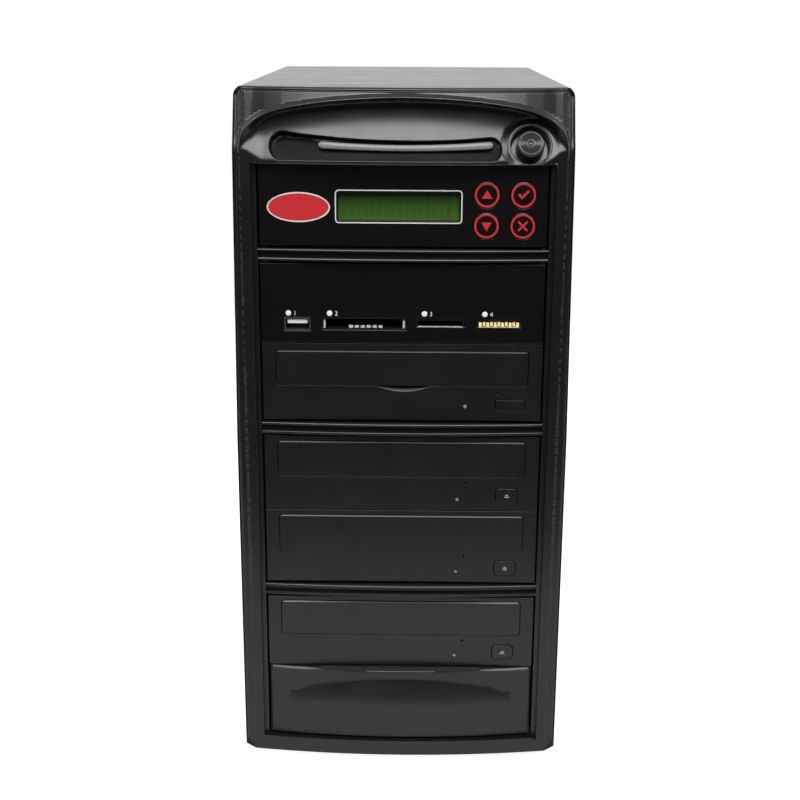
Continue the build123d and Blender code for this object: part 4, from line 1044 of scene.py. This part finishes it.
def filler_face(x, z):
    """Depth of the filler's face."""
    y = face_y - 6.5 + set_back(x, 6.0, filler_half)
    rise = z - bay7 - 22.0
    floor = 0.27 * 0.5 * (rise + np.sqrt(rise * rise + 12.0)) - 0.27 * 0.9
    under = np.clip(arch_height(x) - z, 0, None) * 2.2
    ends = np.clip((64.0 - np.abs(x)) / 12, 0, 1)
    cut = soft_least([np.maximum(floor, 0.001), under + 0.001, 30 * smooth_step(ends) + 0.001], 4)
    edge = np.minimum(np.minimum(z - foot_z, head_z - z), filler_half - np.abs(x))
    bite = np.clip(edge_round - edge, 0, edge_round)
    rounded = edge_round - np.sqrt(np.maximum(edge_round ** 2 - bite * bite, 0))
    return y + np.where(z < arch_height(x), cut, 0) + rounded


face_grid = np.stack([grid_x, filler_face(grid_x, grid_z), grid_z], -1).reshape(-1, 3)
number = np.arange(len(face_grid)).reshape(grid_x.shape)
quads = np.stack([number[:-1, :-1], number[:-1, 1:], number[1:, 1:], number[1:, :-1]], -1)
rim = [int(k) for k in (*number[0], *number[1:, -1], *number[-1, -2::-1], *number[-2:0:-1, 0])]
back_rim = face_grid[rim].copy()
back_rim[:, 1] = face_y + 3.0
start, count = len(face_grid), len(rim)
skirt = [(rim[k], rim[(k + 1) % count], start + (k + 1) % count, start + k) for k in range(count)]
backing = tuple(range(start, start + count))
piece("filler_front", np.vstack([face_grid, back_rim]), quads.reshape(-1, 4).tolist() + skirt + [backing],
      filler_abs, "root", "bezel_plastic", "filler_panel", angle=38)


# ------------------------------------------------------------
# Outer cover: one sheet of 0.8 mm steel bent over the top and both sides and powder coated
# black. The coat is satin with a fine orange-peel texture.

# satin black with a pebbled sheen, which turns pale grey where it faces the lamps
powder_coat = moulded("satin_black_powder_coat", "#1d1d1f", 0.27, 0.9, 0.006)
dress(powder_coat, "outer_cover")


# ------------------------------------------------------------
# Chassis: bent galvanised steel. Front frame, bay side plates, brace, base pan and rear
# panel show the faint grey spangle of hot-dip zinc.

def zinc(name, light, dark, grain_mm, roughness):
    """Zinc-coated steel: cells of lighter and darker grey, with their own gloss."""
    material, tree, shader, place = surface(name, light, roughness, 1.0)
    cells = add(tree, "ShaderNodeTexVoronoi", {"Vector": place, "Scale": 1000 / grain_mm})
    shade = add(tree, "ShaderNodeSeparateColor", {"Color": cells.outputs["Color"]})
    tinted(tree, shader, shade.outputs[0], light, dark)
    gloss = add(tree, "ShaderNodeMapRange", {
        "Value": shade.outputs[1], "To Min": roughness - 0.06, "To Max": roughness + 0.08})
    tree.links.new(gloss.outputs["Result"], shader.inputs["Roughness"])
    return material


# broad spangle that tells sheet steel from paint at a glance; the drive cases' is far finer
galvanised = zinc("hot_dip_galvanised_steel", "#b8babc", "#9a9c9f", 6.0, 0.38)
dress(galvanised, "front_frame", "cage_left", "cage_right", "cage_brace", "base_pan", "rear_panel")
case_steel = zinc("electro_galvanised_steel", "#c2c3c4", "#b2b3b5", 1.2, 0.32)
dress(case_steel, *[f"drive{n}_case" for n in range(1, 5)])
solder_mask = moulded("green_solder_mask", "#1d4d2a", 0.35, 0.8, 0.004)
dress(solder_mask, "control_board", "reader_board")
dress(socket_black, "power_switch", "lcd_module")


# ------------------------------------------------------------
# Rear: power supply with inlet and rocker, and the exhaust fan. Steel box, black glass-
# filled nylon inlet and rocker, black PBT fan.

# a duller black than the sockets, with a grain that keeps the blades from shining
fan_pbt = moulded("black_pbt", "#141415", 0.45, 0.5, 0.01)
soft_copy("psu_case", case_steel, 0.4, "root")
soft_copy("psu_inlet", socket_black, 0.3, "root")
soft_copy("psu_rocker", socket_black, 0.3, "psu_rocker")
soft_copy("rear_fan_frame", fan_pbt, 0.4, "root")
soft_copy("rear_fan_rotor", fan_pbt, 0.3, "rear_fan_rotor")


# ------------------------------------------------------------
# Screws: zinc-plated steel, with flanged six-sided heads. The cover's screws lie in its
# rear lips, the fan's in the rear panel, and the drives' in the bay side plates.

# small, bright and nearly even: points of light round the dull rear panel
screw_zinc = zinc("bright_zinc_plate", "#c9c9c6", "#b5b6b8", 2.0, 0.3)


def screw_tree(name, turn):
    """Flanged hex screw on each point; its head looks along the turned Z axis."""
    tree, inputs, output = new_tree(
        name, ("Flange radius", "Hex radius", "Head height", "Shank radius", "Shank length"))
    whole = add(tree, "GeometryNodeJoinGeometry")
    # flange, hexagon and shank: sides, radius, length, and the shares of it for depth and middle
    for sides, radius, length, deep, middle in (
            (32, "Flange radius", "Head height", 0.35, 0.175), (6, "Hex radius", "Head height", 1.0, 0.5),
            (20, "Shank radius", "Shank length", 1.0, -0.5)):
        depth, lift = (add(tree, "ShaderNodeMath", {0: inputs[length], 1: share}, operation="MULTIPLY")
                       for share in (deep, middle))
        bar = add(tree, "GeometryNodeMeshCylinder", {
            "Vertices": sides, "Radius": inputs[radius], "Depth": depth.outputs[0]})
        place = add(tree, "ShaderNodeCombineXYZ", {2: lift.outputs[0]})
        bar = add(tree, "GeometryNodeTransform", {
            "Geometry": bar.outputs[0], "Translation": place.outputs[0]})
        tree.links.new(bar.outputs[0], whole.inputs[0])
    finish_tree(tree, inputs, output, whole.outputs[0], screw_zinc, turn)
    return tree


to_rear = screw_tree("rear_screw", (math.radians(-90), 0, 0))
cover_places = [(side * 80.0, 143.5, z) for side in (-1, 1) for z in (40.0, 187.5, 340.0)]
grown("cover_screw_set", cover_places, to_rear,
      {"Flange radius": 4.3, "Hex radius": 3.6, "Head height": 2.0, "Shank radius": 1.6,
       "Shank length": 7.5},
      "root", "screw_steel", "cover_screws")
dress(screw_zinc, "fan_screws", "drive_screws")


# ------------------------------------------------------------
# Feet: four cones of moulded black rubber, pressed into the base pan.

# matt and slightly dusty, so the feet show no highlight under the tower
rubber = moulded("black_rubber", "#18181a", 0.7, 0.8, 0.02)
tree, inputs, output = new_tree("moulded_foot", ("Top radius", "Foot radius", "Height"))
cone = add(tree, "GeometryNodeMeshCone", {
    "Vertices": 40, "Radius Top": inputs["Foot radius"], "Radius Bottom": inputs["Top radius"],
    "Depth": inputs["Height"]})
down = add(tree, "GeometryNodeTransform", {"Geometry": cone.outputs[0], "Rotation": (math.pi, 0, 0)})
finish_tree(tree, inputs, output, down.outputs[0], rubber)
grown("foot_set", [(x, y, 5.0) for x in (-66, 66) for y in (-98.5, 115.5)], tree,
      {"Top radius": 9.0, "Foot radius": 8.1, "Height": 5.0}, "root", "foot_rubber", "rubber_feet")
